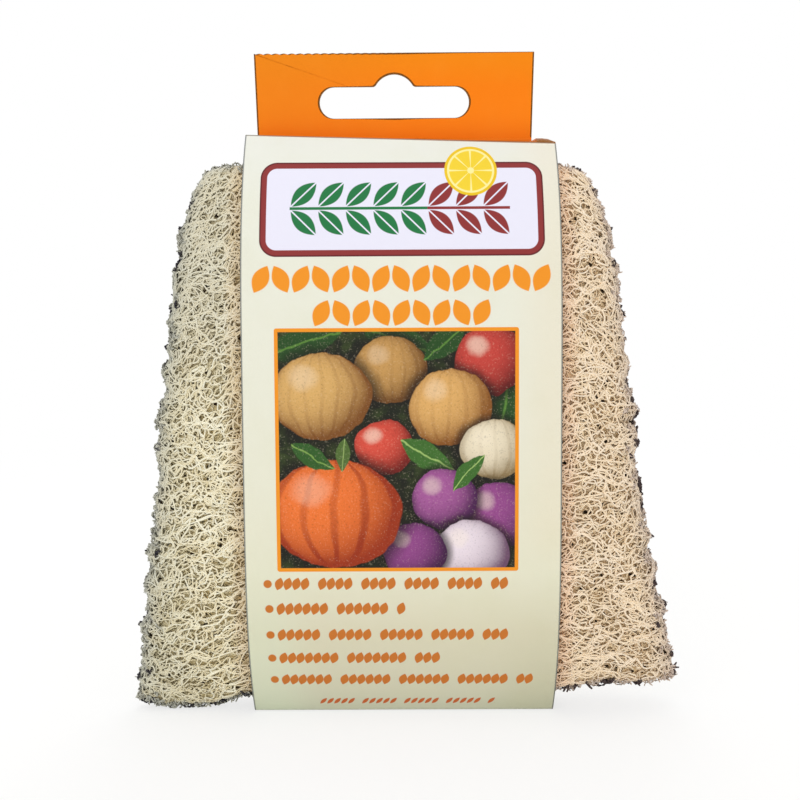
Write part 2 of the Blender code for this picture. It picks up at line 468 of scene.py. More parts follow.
# The label: a box with a border and a branch in two colours, and a slice of citrus over its upper
# border, which is a disc with pale spokes
def printedLabel(wire, canvas, x, h):
    middle, border = printed["labelMiddle"], printed["labelBorder"]
    reach = boxReach(x, h, middle, printed["labelHalf"], printed["labelCorner"])
    maroon, green = ink(printed["maroon"]), ink(printed["green"])
    canvas = wire.blend(reach.ease(0.06, -0.06), canvas, ink("5E141C"))
    canvas = wire.blend(reach.ease(-0.20, -0.40), canvas, maroon)
    canvas = wire.blend(reach.ease(0.06 - border, -0.06 - border), canvas, ink(printed["lavender"]))
    canvas = branch(wire, canvas, x, h, (-22.6, 5.4), middle[1], (7.4, 3.7), green)
    canvas = branch(wire, canvas, x, h, (5.4, 22.2), middle[1], (7.4, 3.7), maroon)
    sideways, upwards = x - printed["sliceSpot"][0], h - printed["sliceSpot"][1]
    radius = distance(sideways, upwards)
    angle = upwards.maths("ARCTAN2", upwards, sideways)
    spokes = (angle * 4.0).maths("SINE", angle * 4.0)
    canvas = wire.blend(radius.ease(5.5, 5.35), canvas, ink("EBC41C"))
    canvas = wire.blend(radius.ease(4.9, 4.8), canvas, ink("FBF0A0"))
    flesh = radius.ease(4.5, 4.35) * radius.ease(0.6, 0.8) * abs(spokes).ease(0.10, 0.26)
    return wire.blend(flesh, canvas, ink("F2D232"))


# Gourds, onions, tomatoes and plums among leaves, from the back to the front: what each is, its
# middle, its size, its dark and light colours, and a leaf's turn or a fruit's gloss and ribs
stillLife = [
    (leaf, (-20.0, 80.0), (17.0, 7.0), "22481A", "5E8C38", 0.3),
    (leaf, (-1.0, 80.5), (16.0, 7.5), "22481A", "5E8C38", -0.35),
    (leaf, (20.5, 66.0), (17.0, 7.5), "22481A", "5E8C38", 1.3),
    (fruit, (-2.4, 74.6), (7.4, 6.8), "6A4218", "C99A58", 0.2, 9.0, 0.08),
    (fruit, (18.0, 76.4), (7.4, 7.0), "5E1210", "C8443A", 0.45),
    (leaf, (8.6, 80.2), (12.0, 5.5), "22481A", "5E8C38", 0.7),
    (fruit, (-16.4, 69.2), (10.2, 8.8), "7A4A1C", "DDB06A", 0.25, 10.0, 0.09),
    (fruit, (9.8, 67.0), (8.6, 7.8), "84501C", "E2B069", 0.25, 8.0, 0.08),
    (fruit, (18.8, 58.4), (6.6, 6.2), "8C7650", "EFE3C8", 0.2, 7.0, 0.08),
    (fruit, (-3.4, 58.8), (6.0, 5.6), "701812", "DC5140", 0.45),
    (leaf, (5.4, 57.2), (13.0, 5.8), "3C6A28", "A9C974", -0.5),
    (fruit, (19.6, 44.8), (7.4, 6.8), "38123C", "9A4C90", 0.35),
    (fruit, (8.6, 48.2), (6.8, 6.2), "46184A", "A85C9C", 0.35),
    (leaf, (13.4, 53.6), (10.0, 3.6), "3C6A28", "A9C974", 0.9),
    (fruit, (14.0, 37.2), (7.8, 6.6), "6A4A66", "EFE2EC", 0.3),
    (fruit, (2.2, 37.4), (6.4, 5.8), "3E1642", "94488C", 0.35),
    (fruit, (-13.6, 45.2), (13.6, 11.2), "98300C", "F27A34", 0.2, 7.0, 0.24),
    (leaf, (-12.0, 57.4), (7.5, 3.0), "4F6A30", "9DB76C", 1.35),
    (leaf, (-18.2, 57.0), (10.0, 4.4), "2E5A22", "86AC54", 2.6),
]


# The still life on dark earth, in an orange frame
def printedPicture(wire, canvas, place, x, h):
    reach = boxReach(x, h, printed["pictureMiddle"], printed["pictureHalf"], printed["pictureCorner"])
    grain = wire.noise(place, 420.0, 4.0)
    uneven = wire.noise(place, 110.0, 1.0)
    x, h = x + (uneven - 0.5) * 2.6, h + (grain - 0.5) * 1.4
    scene = wire.blend(grain.ease(0.35, 0.7), ink("141A0C"), ink("34421C"))
    for kind, spot, size, dark, light, *more in stillLife:
        scene = kind(wire, scene, x, h, spot, size, ink(dark), ink(light), *more)
    speck = wire.noise(place, 3000.0, 3.0)
    scene = wire.blend(speck.ease(0.54, 0.78) * 0.30, scene, ink("1A1208"))
    scene = wire.blend(speck.ease(0.44, 0.24) * 0.16, scene, ink("F4E6C8"))
    inner = -printed["pictureBorder"]
    canvas = wire.blend(reach.ease(0.05, -0.05), canvas, ink(printed["orange"]))
    return wire.blend(reach.ease(inner + 0.05, inner - 0.05), canvas, scene)


# The long edges of the card, darkened: a painted shadow line where the card meets the pad
def edgeShadowLines(wire, canvas, x):
    return wire.blend(abs(x).ease(32.12, 32.36) * 0.80, canvas, ink("4E545A"))


def printedFinish():
    finish, wire, inputs = newFinish("printed cream card", 0.5, 0.25)
    place, x, h = cardPlaces(wire)
    share = h / (card["height"] / mm)
    canvas = wire.node("ShaderNodeValToRGB", rampStops(printed["cream"]), {0: share})
    mottle = wire.noise(place, 120.0, 3.0)
    canvas = wire.blend(mottle.ease(0.4, 0.8) * 0.12, canvas, ink("D2D2AA"))
    # Tints of the cream, and a painted shade at its lower right
    for sideways, upwards, share, code in printed["tintsAndShade"]:
        canvas = wire.blend(x.ease(*sideways) * h.ease(*upwards) * share, canvas, ink(code))
    canvas = printedLabel(wire, canvas, x, h)
    pitch, turn, orange = printed["leafPitch"], printed["leafTurn"], ink(printed["orange"])
    for ends, height, size in printed["leafRows"]:
        canvas = leafRow(wire, canvas, x, h, ends, height, pitch, size, turn, orange)
    canvas = printedPicture(wire, canvas, place, x, h)
    canvas = seedLines(wire, canvas, x, h, printed["lines"], ink(printed["wording"]))
    small = ink("C4622C")
    canvas = leafRow(wire, canvas, x, h, (-19.6, 19.7), 2.9, 1.51, (2.3, 0.9), 0.8, small, False, 6)
    # Handling wear: the colour is thinner on the folds
    crest = h + x * (card["halfSlant"] / card["width"] * 2)
    fold = h.ease(0.9, 0.2).least(crest.ease(121.6, 122.6))
    rub = wire.noise(place, 1500.0, 3.0)
    canvas = wire.blend(fold * rub.ease(0.45, 0.7) * 0.45, canvas, ink("F4F2E8"))
    # A painted shadow line along each long edge
    canvas = edgeShadowLines(wire, canvas, x)
    # A painted shade line along the top fold's crest: brown, and grey at its left end
    creaseShadeLine = wire.blend(x.ease(-29.9, -29.5), ink("77705F"), ink("8A5A24"))
    canvas = wire.blend(crest.ease(122.46, 122.58) * 0.85, canvas, creaseShadeLine)
    endPaper(inputs, canvas, mottle * 0.12 + 0.44, place, 0.00004)
    return finish


# Plain board: off-white pulp with fine flecks, for the insides
def boardFinish(name, pale, dark):
    finish, wire, inputs = newFinish(name, 0.75, 0.3)
    place = objectPlace(wire)
    cloud = wire.noise(place, 260.0, 4.0)
    canvas = wire.blend(cloud.ease(0.3, 0.75), ink(pale), ink(dark))
    fleck = wire.noise(place, 3400.0, 2.0)
    canvas = wire.blend(fleck.ease(0.66, 0.74) * 0.5, canvas, ink("9A8A68"))
    endPaper(inputs, canvas, cloud * 0.2 + 0.62, place, 0.00006)
    return finish


# The back card: the same cream with a thin frame, a sprig in a band of orange, and lines of seeds
def backFinish():
    finish, wire, inputs = newFinish("printed back card", 0.5, 0.25)
    place, x, h = cardPlaces(wire)
    x = 0.0 - x
    mottle = wire.noise(place, 120.0, 3.0)
    canvas = wire.blend(mottle.ease(0.4, 0.8) * 0.12, ink("E6E5D3"), ink("D2D2AA"))
    orange, wording, green = ink(printed["orange"]), ink(printed["wording"]), ink(printed["green"])
    outline = abs(boxReach(x, h, (0.0, 61.0), (28.4, 55.4), 2.4) + 0.4)
    canvas = wire.blend(outline.ease(0.42, 0.32), canvas, wording)
    band = boxReach(x, h, (0.0, 105.0), (25.0, 7.2), 1.8)
    canvas = wire.blend(band.ease(0.05, -0.05), canvas, orange)
    canvas = branch(wire, canvas, x, h, (-19.6, 19.6), 105.0, (6.2, 3.2), ink("F6F4E6"))
    canvas = seedLines(wire, canvas, x, h, printed["backLines"], wording)
    canvas = branch(wire, canvas, x, h, (-16.8, 16.8), 26.0, (7.4, 3.7), green)
    # A painted shadow line along each long edge
    canvas = edgeShadowLines(wire, canvas, x)
    endPaper(inputs, canvas, mottle * 0.12 + 0.44, place, 0.00004)
    return finish


# Cut edges of the board, brownish with dark specks
def cutFinish(name, pale, dark):
    finish, wire, inputs = newFinish(name, 0.85, 0.2)
    place = objectPlace(wire)
    speck = wire.noise(place, 2600.0, 4.0)
    canvas = wire.blend(speck.ease(0.35, 0.65), ink(pale), ink(dark))
    endPaper(inputs, canvas, speck * 0.2 + 0.7, place, 0.00006)
    return finish


# Orange ink, yellower at the tab's top and redder at its root, as a ramp over millimetres of height
orangeInk = {
    "foot": 122.8,
    "reach": 18.6,
    "stops": [(0.0, "B86420"), (0.06, "FF820E"), (0.30, "FF850C"), (0.62, "FA8208"), (1.0, "F48A06")],
}


def orangeFinish():
    finish, wire, inputs = newFinish("orange printed card", 0.55, 0.12)
    place, x, h = cardPlaces(wire)
    share = (h - orangeInk["foot"]) / orangeInk["reach"]
    canvas = wire.node("ShaderNodeValToRGB", rampStops(orangeInk["stops"]), {0: share})
    canvas = wire.blend(x.ease(12.0, -28.0) * 0.5, canvas, ink("E68518"))
    mottle = wire.noise(place, 160.0, 3.0)
    canvas = wire.blend(mottle.ease(0.45, 0.8) * 0.10, canvas, ink("FB9A30"))
    # A painted shade: the top panel's bowed right end darkened to brown
    canvas = wire.blend(x.ease(28.3, 28.9) * h.ease(124.4, 124.2) * 0.8, canvas, ink("80541A"))
    endPaper(inputs, canvas, mottle * 0.12 + 0.50, place, 0.00004)
    return finish


printedCard = printedFinish()
orangeCard = orangeFinish()
backPrint = backFinish()
insideCard = boardFinish("inner card", "D8D2BE", "C9C1A8")
cutCard = cutFinish("cut card edge", "ADA896", "837F70")
cutOrange = cutFinish("cut orange edge", "8A520E", "6E420C")
print("card finishes ready")


# Parts side by side in a last axis, each spread to the same shape
def joined(*parts):
    return np.stack(np.broadcast_arrays(*parts), axis=-1)


# Vectors at a length of one; the least length only keeps it from dividing by 0
def unit(vectors):
    return vectors / np.maximum(np.linalg.norm(vectors, axis=-1, keepdims=True), 1e-12)


# A mesh from arrays: points, and groups of faces that each have one number of corners and one slot
def meshOf(name, points, groups, finishes):
    counts = np.concatenate([np.full(len(faces), faces.shape[1]) for faces, _ in groups])
    corners = np.concatenate([faces.ravel() for faces, _ in groups])
    slots = np.concatenate([np.full(len(faces), slot) for faces, slot in groups])
    mesh = bpy.data.meshes.new(name)
    mesh.vertices.add(len(points))
    mesh.vertices.foreach_set("co", np.asarray(points, np.float32).ravel())
    mesh.loops.add(len(corners))
    mesh.loops.foreach_set("vertex_index", corners.astype(np.int32))
    mesh.polygons.add(len(counts))
    starts = np.concatenate([[0], np.cumsum(counts)[:-1]])
    mesh.polygons.foreach_set("loop_start", starts.astype(np.int32))
    mesh.polygons.foreach_set("material_index", slots.astype(np.int32))
    mesh.polygons.foreach_set("use_smooth", np.ones(len(counts), bool))
    for finish in finishes:
        mesh.materials.append(finish)
    mesh.update(calc_edges=True)
    made = bpy.data.objects.new(name, mesh)
    bpy.context.scene.collection.objects.link(made)
    return made


# Corners of a grid's squares, joined round the last column if it is a ring
def gridFaces(rows, columns, ring=False):
    index = np.arange(rows * columns).reshape(rows, columns)
    if ring:
        index = np.concatenate([index, index[:, :1]], axis=1)
    return joined(index[:-1, :-1], index[1:, :-1], index[1:, 1:], index[:-1, 1:]).reshape(-1, 4)


# The normal of a grid of points: the cross product of its steps down and across
def gridNormals(points, ring=False):
    down = np.gradient(points, axis=0)
    if ring:
        across = np.roll(points, -1, axis=1) - np.roll(points, 1, axis=1)
    else:
        across = np.gradient(points, axis=1)
    return unit(np.cross(down, across))


# A sheet of card: the outer grid, the same grid moved in along its normal by the card's thickness,
# and a rim that joins the two along every free edge. Slots are outside, inside and rim; a ring's
# first and last rows outside take the rim's slot too, as a thin line round each cut.
def cardSheet(name, outer, finishes, ring=False):
    rows, columns = outer.shape[:2]
    inner = outer - gridNormals(outer, ring) * card["thickness"]
    faces = gridFaces(rows, columns, ring)
    count = rows * columns
    index = np.arange(count).reshape(rows, columns)
    if ring:
        loops = [np.append(index[0], index[0, 0]), np.append(index[-1], index[-1, 0])[::-1]]
    else:
        loops = [np.concatenate([index[0], index[1:, -1], index[-1, -2::-1], index[-2::-1, 0]])]
    rims = [joined(edge[:-1], edge[1:], edge[1:] + count, edge[:-1] + count) for edge in loops]
    points = np.concatenate([outer.reshape(-1, 3), inner.reshape(-1, 3)])
    border = columns if ring else 0
    first, plain, last = np.split(faces, [border, len(faces) - border])
    lines = np.concatenate([first, last])
    groups = [(plain, 0), (lines, 2), (faces[:, ::-1] + count, 1), (np.concatenate(rims), 2)]
    made = meshOf(name, points, groups, finishes)
    made.data.set_sharp_from_angle(angle=math.radians(card["sharpAngle"]))
    return made


# The way from the band's widest height to its foot or top, from 0 to 1
def bandShare(height):
    middle = card["height"] / 2
    return np.clip(np.abs(height - middle) / middle, 0.0, 1.0)


# How far out the band stands at a height: a bulge that sinks with the fourth power of that way
def bandHalfDepth(height):
    sunk = (card["middleDepth"] - card["endDepth"]) / 2 * bandShare(height) ** card["bulgePower"]
    return card["middleDepth"] / 2 - sunk


# A fold: a curve from start to end that is pulled towards the corner where the two panels would
# meet, in so many points between two shares of its way
def foldCurve(start, corner, end, low, high, count):
    start, corner, end = (np.array(point) for point in (start, corner, end))
    shares = np.linspace(low, high, count)[:, None]
    return start * (1 - shares) ** 2 + corner * 2 * shares * (1 - shares) + end * shares**2


# Carries a profile of depth and height across the band's width; the top slants down to the right
def carryAcross(profile, slants):
    across = np.linspace(-1.0, 1.0, card["stepsAcross"] + 1)[None, :]
    height = profile[:, 1:] - across * card["halfSlant"] * slants[:, None]
    return joined(across * card["width"] / 2, profile[:, :1], height) + footPlace


# The front bottom fold, the back bottom fold and the top fold, each as its start, corner and end
def foldPoints():
    fold, high, deep = card["fold"], card["height"], card["endDepth"] / 2
    lowFold = [(-bandHalfDepth(fold), fold), (-deep, 0.0), (-deep + fold, 0.0)]
    topFold = [(-deep + fold, high), (-deep, high), (-bandHalfDepth(high - fold), high - fold)]
    return lowFold, [(-x, z) for x, z in lowFold[::-1]], topFold


# Front and bottom of the band in one sheet, from the middle of the top fold to the back bottom fold
def frontProfile():
    lowFold, backFold, topFold = foldPoints()
    fold, high = card["fold"], card["height"]
    start = foldCurve(*topFold, 0.5, 1.0, card["stepsFold"])
    heights = np.linspace(high - fold, fold, card["stepsUp"])[1:-1]
    panel = joined(-bandHalfDepth(heights), heights)
    corner = foldCurve(*lowFold, 0.0, 1.0, card["stepsCorner"])
    flat = np.linspace(corner[-1], backFold[0], card["stepsFoot"])[1:-1]
    back = foldCurve(*backFold, 0.0, 0.5, card["stepsFold"])
    return np.concatenate([start, panel, corner, flat, back])


def backProfile():
    start = foldCurve(*foldPoints()[1], 0.5, 1.0, card["stepsFold"])
    heights = np.linspace(card["fold"], card["height"], card["stepsUp"])[1:]
    return np.concatenate([start, joined(bandHalfDepth(heights), heights)])


def topProfile():
    fold = foldCurve(*foldPoints()[2], 0.0, 0.5, card["stepsFold"])[::-1]
    depths = np.linspace(fold[-1, 0], tab["rootFront"], card["stepsTop"])[1:]
    return np.concatenate([fold, joined(depths, card["height"])])


# Hang tab: both plies lean forward about the crease above the back panel
tab = {
    "width": 0.059,
    "height": 0.0176,
    "lean": math.radians(12.0),
    "shift": -0.0013,
    "creaseBack": 0.00275,
    "creaseHeight": 0.1239,
    "halfThickness": 0.0006,
    "slotWidth": 0.032,
    "slotHeight": 0.0064,
    "slotFoot": 0.00445,
    "bumpWidth": 0.0082,
    "bumpRise": 0.0025,
    "bumpFillet": 0.0009,
    "rootFront": 0.0016,
    "foot": 0.0002,
    "scallop": 0.00022,
    "scallopPitch": 0.00172,
    "scallopEnd": 0.004,
    "scallopFade": 0.026,
    "spacing": 0.00025,
    "rings": 7,
    "line": 0.00034,
    "footLine": 0.00004,
    # Where each crease's corner lies from its start, in depth and height
    "frontDraw": (0.0005, 0.0),
    "backDraw": (0.0001, 0.0005),
    "stepsSlot": 200,
    "stepsFillet": 60,
    "stepsCrease": 12,
}


# A point of the tab from its place across, its height along the tab and its distance before it
def tabPoint(across, up, ahead):
    cosine, sine = math.cos(tab["lean"]), math.sin(tab["lean"])
    depth = tab["creaseBack"] - ahead * cosine - up * sine
    height = tab["creaseHeight"] - ahead * sine + up * cosine
    return joined(across + tab["shift"], depth, height) + footPlace


# The slot's outline along each direction from its middle, read from a fine polygon: round ends,
# straight edges, and over the middle of the upper edge the bump's arc, with a fillet at either foot
def slotAt(directions):
    radius = tab["slotHeight"] / 2
    reach = tab["slotWidth"] / 2 - radius
    half, rise, fillet = tab["bumpWidth"] / 2, tab["bumpRise"], tab["bumpFillet"]
    arc = (half**2 + rise**2) / (2 * rise)
    centre = radius + rise - arc
    filletUp = radius + fillet
    filletAcross = math.sqrt((arc + fillet) ** 2 - (filletUp - centre) ** 2)
    meeting = math.atan2(filletUp - centre, filletAcross)
    steps = tab["stepsSlot"]
    right = np.linspace(-math.pi / 2, math.pi / 2, steps)
    over = np.linspace(meeting, math.pi - meeting, steps)
    left = np.linspace(math.pi / 2, 1.5 * math.pi, steps)
    bend = np.linspace(1.5 * math.pi, math.pi + meeting, tab["stepsFillet"])
    foot = joined(filletAcross + fillet * np.cos(bend), filletUp + fillet * np.sin(bend))
    level = np.linspace(0.0, 1.0, steps)
    pieces = [
        joined(reach + radius * np.cos(right), radius * np.sin(right)),
        joined(reach + (filletAcross - reach) * level, radius),
        foot,
        joined(arc * np.cos(over), centre + arc * np.sin(over)),
        foot[::-1] * [-1.0, 1.0],
        joined(-filletAcross + (filletAcross - reach) * level, radius),
        joined(-reach + radius * np.cos(left), radius * np.sin(left)),
        joined(-reach + 2 * reach * level, -radius),
    ]
    outline = np.concatenate(pieces)
    angles = np.unwrap(np.arctan2(outline[:, 1], outline[:, 0]))
    order = np.argsort(angles)
    wanted = (directions - angles[order][0]) % (2 * math.pi) + angles[order][0]
    return joined(*(np.interp(wanted, angles[order], outline[order, axis]) for axis in (0, 1)))


# The tab's outer edge, walked at even steps, with small scallops along the left of its top
def tabEdge():
    half, high, gap = tab["width"] / 2, tab["height"], tab["spacing"]
    wide, tall = int(2 * half / gap), int((high - tab["foot"]) / gap)
    across = np.linspace(-half, half, wide + 1)
    up = np.linspace(tab["foot"], high, tall + 1)
    scallop = 1.0 - np.abs(np.sin(math.pi * across / tab["scallopPitch"]))
    fade = np.clip((tab["scallopEnd"] - across) / tab["scallopFade"], 0.0, 1.0)
    top = high - tab["scallop"] * scallop * fade
    foot, right = joined(across[:-1], tab["foot"]), joined(half, up[:-1])
    return np.concatenate([foot, right, joined(across, top)[:0:-1], joined(-half, up)[:0:-1]])


# One ply: rings that grow evenly from the slot's outline to the tab's edge
def addPly(name, node, ahead, behind):
    edge = tabEdge()
    middle = np.array([0.0, tab["slotFoot"] + tab["slotHeight"] / 2])
    slot = slotAt(np.arctan2(edge[:, 1] - middle[1], edge[:, 0])) + middle
    wide = np.linalg.norm(edge - slot, axis=1)
    line = tab["line"] / wide
    atFoot = np.where(edge[:, 1] > tab["foot"] + 1e-7, line, tab["footLine"] / wide)
    shares = line + np.linspace(0.0, 1.0, tab["rings"])[:, None] * (1 - line - atFoot)
    shares = np.concatenate([np.zeros((1, len(edge))), shares, np.ones((1, len(edge)))])[..., None]
    flat = slot[None] * (1 - shares) + edge[None] * shares
    if behind:
        flat = flat[:, ::-1]
    points = tabPoint(flat[..., 0], flat[..., 1], ahead)
    made = cardSheet(name, points, [orangeCard, insideCard, cutOrange], ring=True)
    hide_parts(node)
    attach(made, "hang_tab")


# The two creases at the tab's root: short sheets from a panel's edge up to the foot of a ply
def addCrease(name, ahead, root, draw):
    across = np.linspace(-tab["width"] / 2, tab["width"] / 2, card["stepsAcross"] + 1)
    top = tabPoint(0.0, tab["foot"], ahead) - footPlace
    start, corner = (root, card["height"]), (root + draw[0], card["height"] + draw[1])
    profile = foldCurve(start, corner, (top[1], top[2]), 0.0, 1.0, tab["stepsCrease"])
    points = joined(across[None] + tab["shift"], profile[:, :1], profile[:, 1:]) + footPlace
    if ahead < 0:
        points = points[:, ::-1]
    made = cardSheet(name, points[::-1], [orangeCard, insideCard, cutOrange])
    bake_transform(made)


def addBand():
    front = frontProfile()
    slant = np.clip(front[:, 1] / card["height"], 0.0, 1.0) * (front[:, 0] < 0)
    made = cardSheet("front_card", carryAcross(front, slant), [printedCard, insideCard, cutCard])
    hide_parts("front_panel", "bottom_panel")
    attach(made, "card_band")
    back = backProfile()
    points = carryAcross(back, np.zeros(len(back)))
    made = cardSheet("back_card", points, [backPrint, insideCard, cutCard])
    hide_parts("back_panel")
    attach(made, "card_band")
    top = topProfile()
    foldDepth = card["endDepth"] / 2
    reach = tab["rootFront"] + foldDepth
    points = carryAcross(top, np.clip((tab["rootFront"] - top[:, 0]) / reach, 0.0, 1.0))
    start, full, hold, end = card["topBowShares"]
    across = (points[..., 0] - footPlace[0]) * 2 / card["width"]
    bowed = np.interp(across, [start, full, hold, end], [0.0, 1.0, 1.0, 0.0])
    through = np.clip((top[:, :1] + foldDepth) / reach, 0.0, 1.0)
    points[..., 2] += card["topBow"] * bowed * np.sin(math.pi * through)
    made = cardSheet("top_card", points[::-1], [orangeCard, insideCard, cutOrange])
    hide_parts("top_panel")
    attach(made, "card_band")


def addTab():
    half = tab["halfThickness"]
    addPly("tab_front_card", "tab_front_ply", half, False)
    addPly("tab_back_card", "tab_back_ply", -half, True)
    addCrease("front_crease", half, tab["rootFront"], tab["frontDraw"])
    addCrease("back_crease", -half, card["endDepth"] / 2, tab["backDraw"])
    glue, wire, inputs = newFinish("clear glue", 0.25, 0.5)
    smear = wire.noise(objectPlace(wire), 700.0, 3.0)
    plug(wire.blend(smear, ink("D8CFA8"), ink("B9A878")), inputs["Base Color"])
    plug(smear * 0.3 + 0.15, inputs["Roughness"])
    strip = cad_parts["tab_glue_strip"]
    strip.data.materials.clear()
    strip.data.materials.append(glue)


addBand()
addTab()
print("card band and tab ready")


# Loofah pad, sizes as in the CAD: a pressed gourd whose section follows a sixth-power crown
pad = {
    "footWidth": 0.1218,
    "topWidth": 0.086,
    "leftBow": 0.0006,
    "leftShoulder": 0.0026,
    "rightBow": -0.0012,
    "rightShoulder": 0.0039,
    "footShift": 0.0006,
    "topShift": -0.0014,
    "leftFootRise": 0.0001,
    "rightFootRise": 0.0055,
    "leftTopDrop": 0.0040,
    "rightTopDrop": 0.0045,
    "footArch": 0.0022,
    "footCutShares": (-1.0, -0.90, -0.71, -0.60, 0.45, 0.58, 0.75, 0.86, 1.0),
    "footCutDrops": (0.0009, 0.0017, 0.0017, 0.0, 0.0017, 0.0018, 0.0004, 0.0011, 0.0013),
    "cornerDraw": 0.0020,
    "cornerPower": 15.0,
    "sidePower": 6.0,
    "clearance": 0.00075,
    "roundedEnd": 0.03,
    "roundedShare": 0.04,
    "ragged": 0.0005,
    "scallop": 0.00054,
    "inset": 0.0003,
    "rimPower": 12,
    # Waves at the rims: their pace along the pad, how many, and their seed
    "raggedWaves": (2, 7, 11),
    "scallopWaves": (6, 3, 14),
    "scallopMiddle": 0.6,
    "waveTurns": (4, 26),
    "waveClimbs": (4, 34),
    "phases": (0, 6.28),
    "rowWaves": 4,
    "rowTurns": (5, 13),
    "rowLean": 0.15,
    "endLimit": 0.999,
    "stepsRound": 4001,
    "stepsLevel": 1001,
    "middleHalf": (0.0525, 0.0122),
    "sideFade": (0.70, 0.50),
    "endFade": (0.94, 0.06),
    "normalStep": 0.0004,
    "girth": 0.236,
    "length": 0.118,
    "seed": 7,
}
girth, length = pad["girth"] / mm, pad["length"] / mm


# How far across the section lies at a turn: the cosine to a third, keeping its sign
def crownAcross(turns):
    return np.sign(np.cos(turns)) * np.abs(np.cos(turns)) ** (2 / pad["sidePower"])


# Turns round the section at even steps of its length, from a fine walk round the middle section.
# The walk takes even turns and, because the crown is nearly level at its middle, even steps across.
def evenTurns():
    level = np.arccos(np.linspace(-1.0, 1.0, pad["stepsLevel"]) ** (pad["sidePower"] / 2))
    turns = np.linspace(0.0, 2 * math.pi, pad["stepsRound"])
    turns = np.unique(np.concatenate([turns, level, 2 * math.pi - level]))
    wide, deep = pad["middleHalf"]
    steps = np.hypot(np.diff(crownAcross(turns) * wide), np.diff(np.sin(turns) * deep))
    return np.concatenate([[0.0], np.cumsum(steps)]) / steps.sum(), turns


roundShares, roundTurns = evenTurns()


# Slow waves over the pad, the same on every run
def slowWaves(around, along, count, seed):
    pick = np.random.default_rng(seed)
    total = np.zeros(np.broadcast(around, along).shape)
    for _ in range(count):
        turns, climbs = pick.integers(*pad["waveTurns"]), pick.uniform(*pad["waveClimbs"])
        total += np.sin(2 * math.pi * turns * around + climbs * along + pick.uniform(*pad["phases"]))
    return total / math.sqrt(count)


# The room inside the band at a height: half its depth less the card and a piece gap, square to it
def bandRoom(height):
    slope = card["bulgePower"] * (card["middleDepth"] - card["endDepth"]) / card["height"]
    slope = slope * bandShare(height) ** (card["bulgePower"] - 1)
    return bandHalfDepth(height) - pad["clearance"] * np.hypot(1.0, slope)


# A size of the pad that goes from one of its values to another by a share
def mixed(low, high, share):
    return pad[low] + (pad[high] - pad[low]) * share


# A point of the pad's outside. around runs 0 to 1 from the right rim over the back, the left rim and
# the front; along runs -1 to 1 from foot to top and rounds off over both ends. The outline leans,
# each side bows with a shoulder of its own, the corners draw in, the foot hangs lower where it was
# cut so, and the rims wander a little.
def padPoint(around, along):
    turn = np.interp(around % 1.0, roundShares, roundTurns)
    across = crownAcross(turn)
    plain, rounded = 1.0 - pad["roundedShare"], pad["roundedEnd"]
    cap = np.clip((np.abs(along) - plain) / pad["roundedShare"], 0.0, 1.0) * math.pi / 2
    up = np.clip(np.abs(along) / plain, 0.0, 1.0) * (1 - rounded) + rounded * np.sin(cap)
    up = up * np.sign(along)
    right, high = (across + 1) / 2, (up + 1) / 2
    half = mixed("footWidth", "topWidth", high) / 2 - pad["inset"]
    bow, shoulder = mixed("leftBow", "rightBow", right), mixed("leftShoulder", "rightShoulder", right)
    half = half + (bow + shoulder * up) * (1 - up**2)
    half = half - pad["cornerDraw"] * np.abs(up) ** pad["cornerPower"]
    rims, edge = np.abs(across) ** pad["rimPower"], np.round(right)
    ragged, scallops = (
        slowWaves(edge, along * pace, count, seed)
        for pace, count, seed in (pad["raggedWaves"], pad["scallopWaves"])
    )
    half = half + rims * pad["ragged"] * ragged
    half = half + rims * pad["scallop"] * (np.abs(scallops) - pad["scallopMiddle"])
    middle = mixed("footShift", "topShift", high)
    foot = pad["clearance"] + mixed("leftFootRise", "rightFootRise", right)
    foot = foot + pad["footArch"] * (1 - across**2)
    foot = foot - np.interp(across, pad["footCutShares"], pad["footCutDrops"])
    top = card["height"] - pad["clearance"] - mixed("leftTopDrop", "rightTopDrop", right)
    draw = up * pad["cornerDraw"] * np.abs(across) ** pad["cornerPower"]
    height = foot + (top - foot) * high - draw
    depth = np.sin(turn) * bandRoom(height) * np.cos(cap)
    return joined(middle + across * half, depth, height) + footPlace


# The outward normal of the pad, from small steps round and along it
def padNormal(around, along):
    gap = pad["normalStep"]
    low, high = np.clip(along - gap, -1, 1), np.clip(along + gap, -1, 1)
    sideways = padPoint(around + gap, along) - padPoint(around - gap, along)
    upwards = padPoint(around, high) - padPoint(around, low)
    return unit(np.cross(sideways, upwards))


# Nearness to a side rim or an end, 1 at the rim. A side's share falls with the section's sine.
def rimShare(around, along):
    turn = np.interp(around % 1.0, roundShares, roundTurns)
    (near, wide), (start, tall) = pad["sideFade"], pad["endFade"]
    side = np.clip((near - np.abs(np.sin(turn))) / wide, 0.0, 1.0)
    return np.maximum(side, np.clip((np.abs(along) - start) / tall, 0.0, 1.0))


# Puts three numbers at every point of a mesh: tone, rim and depth
def markFibre(made, numbers):
    layer = made.data.attributes.new("fibre", "FLOAT_VECTOR", "POINT")
    layer.data.foreach_set("vector", numbers.astype(np.float32).ravel())


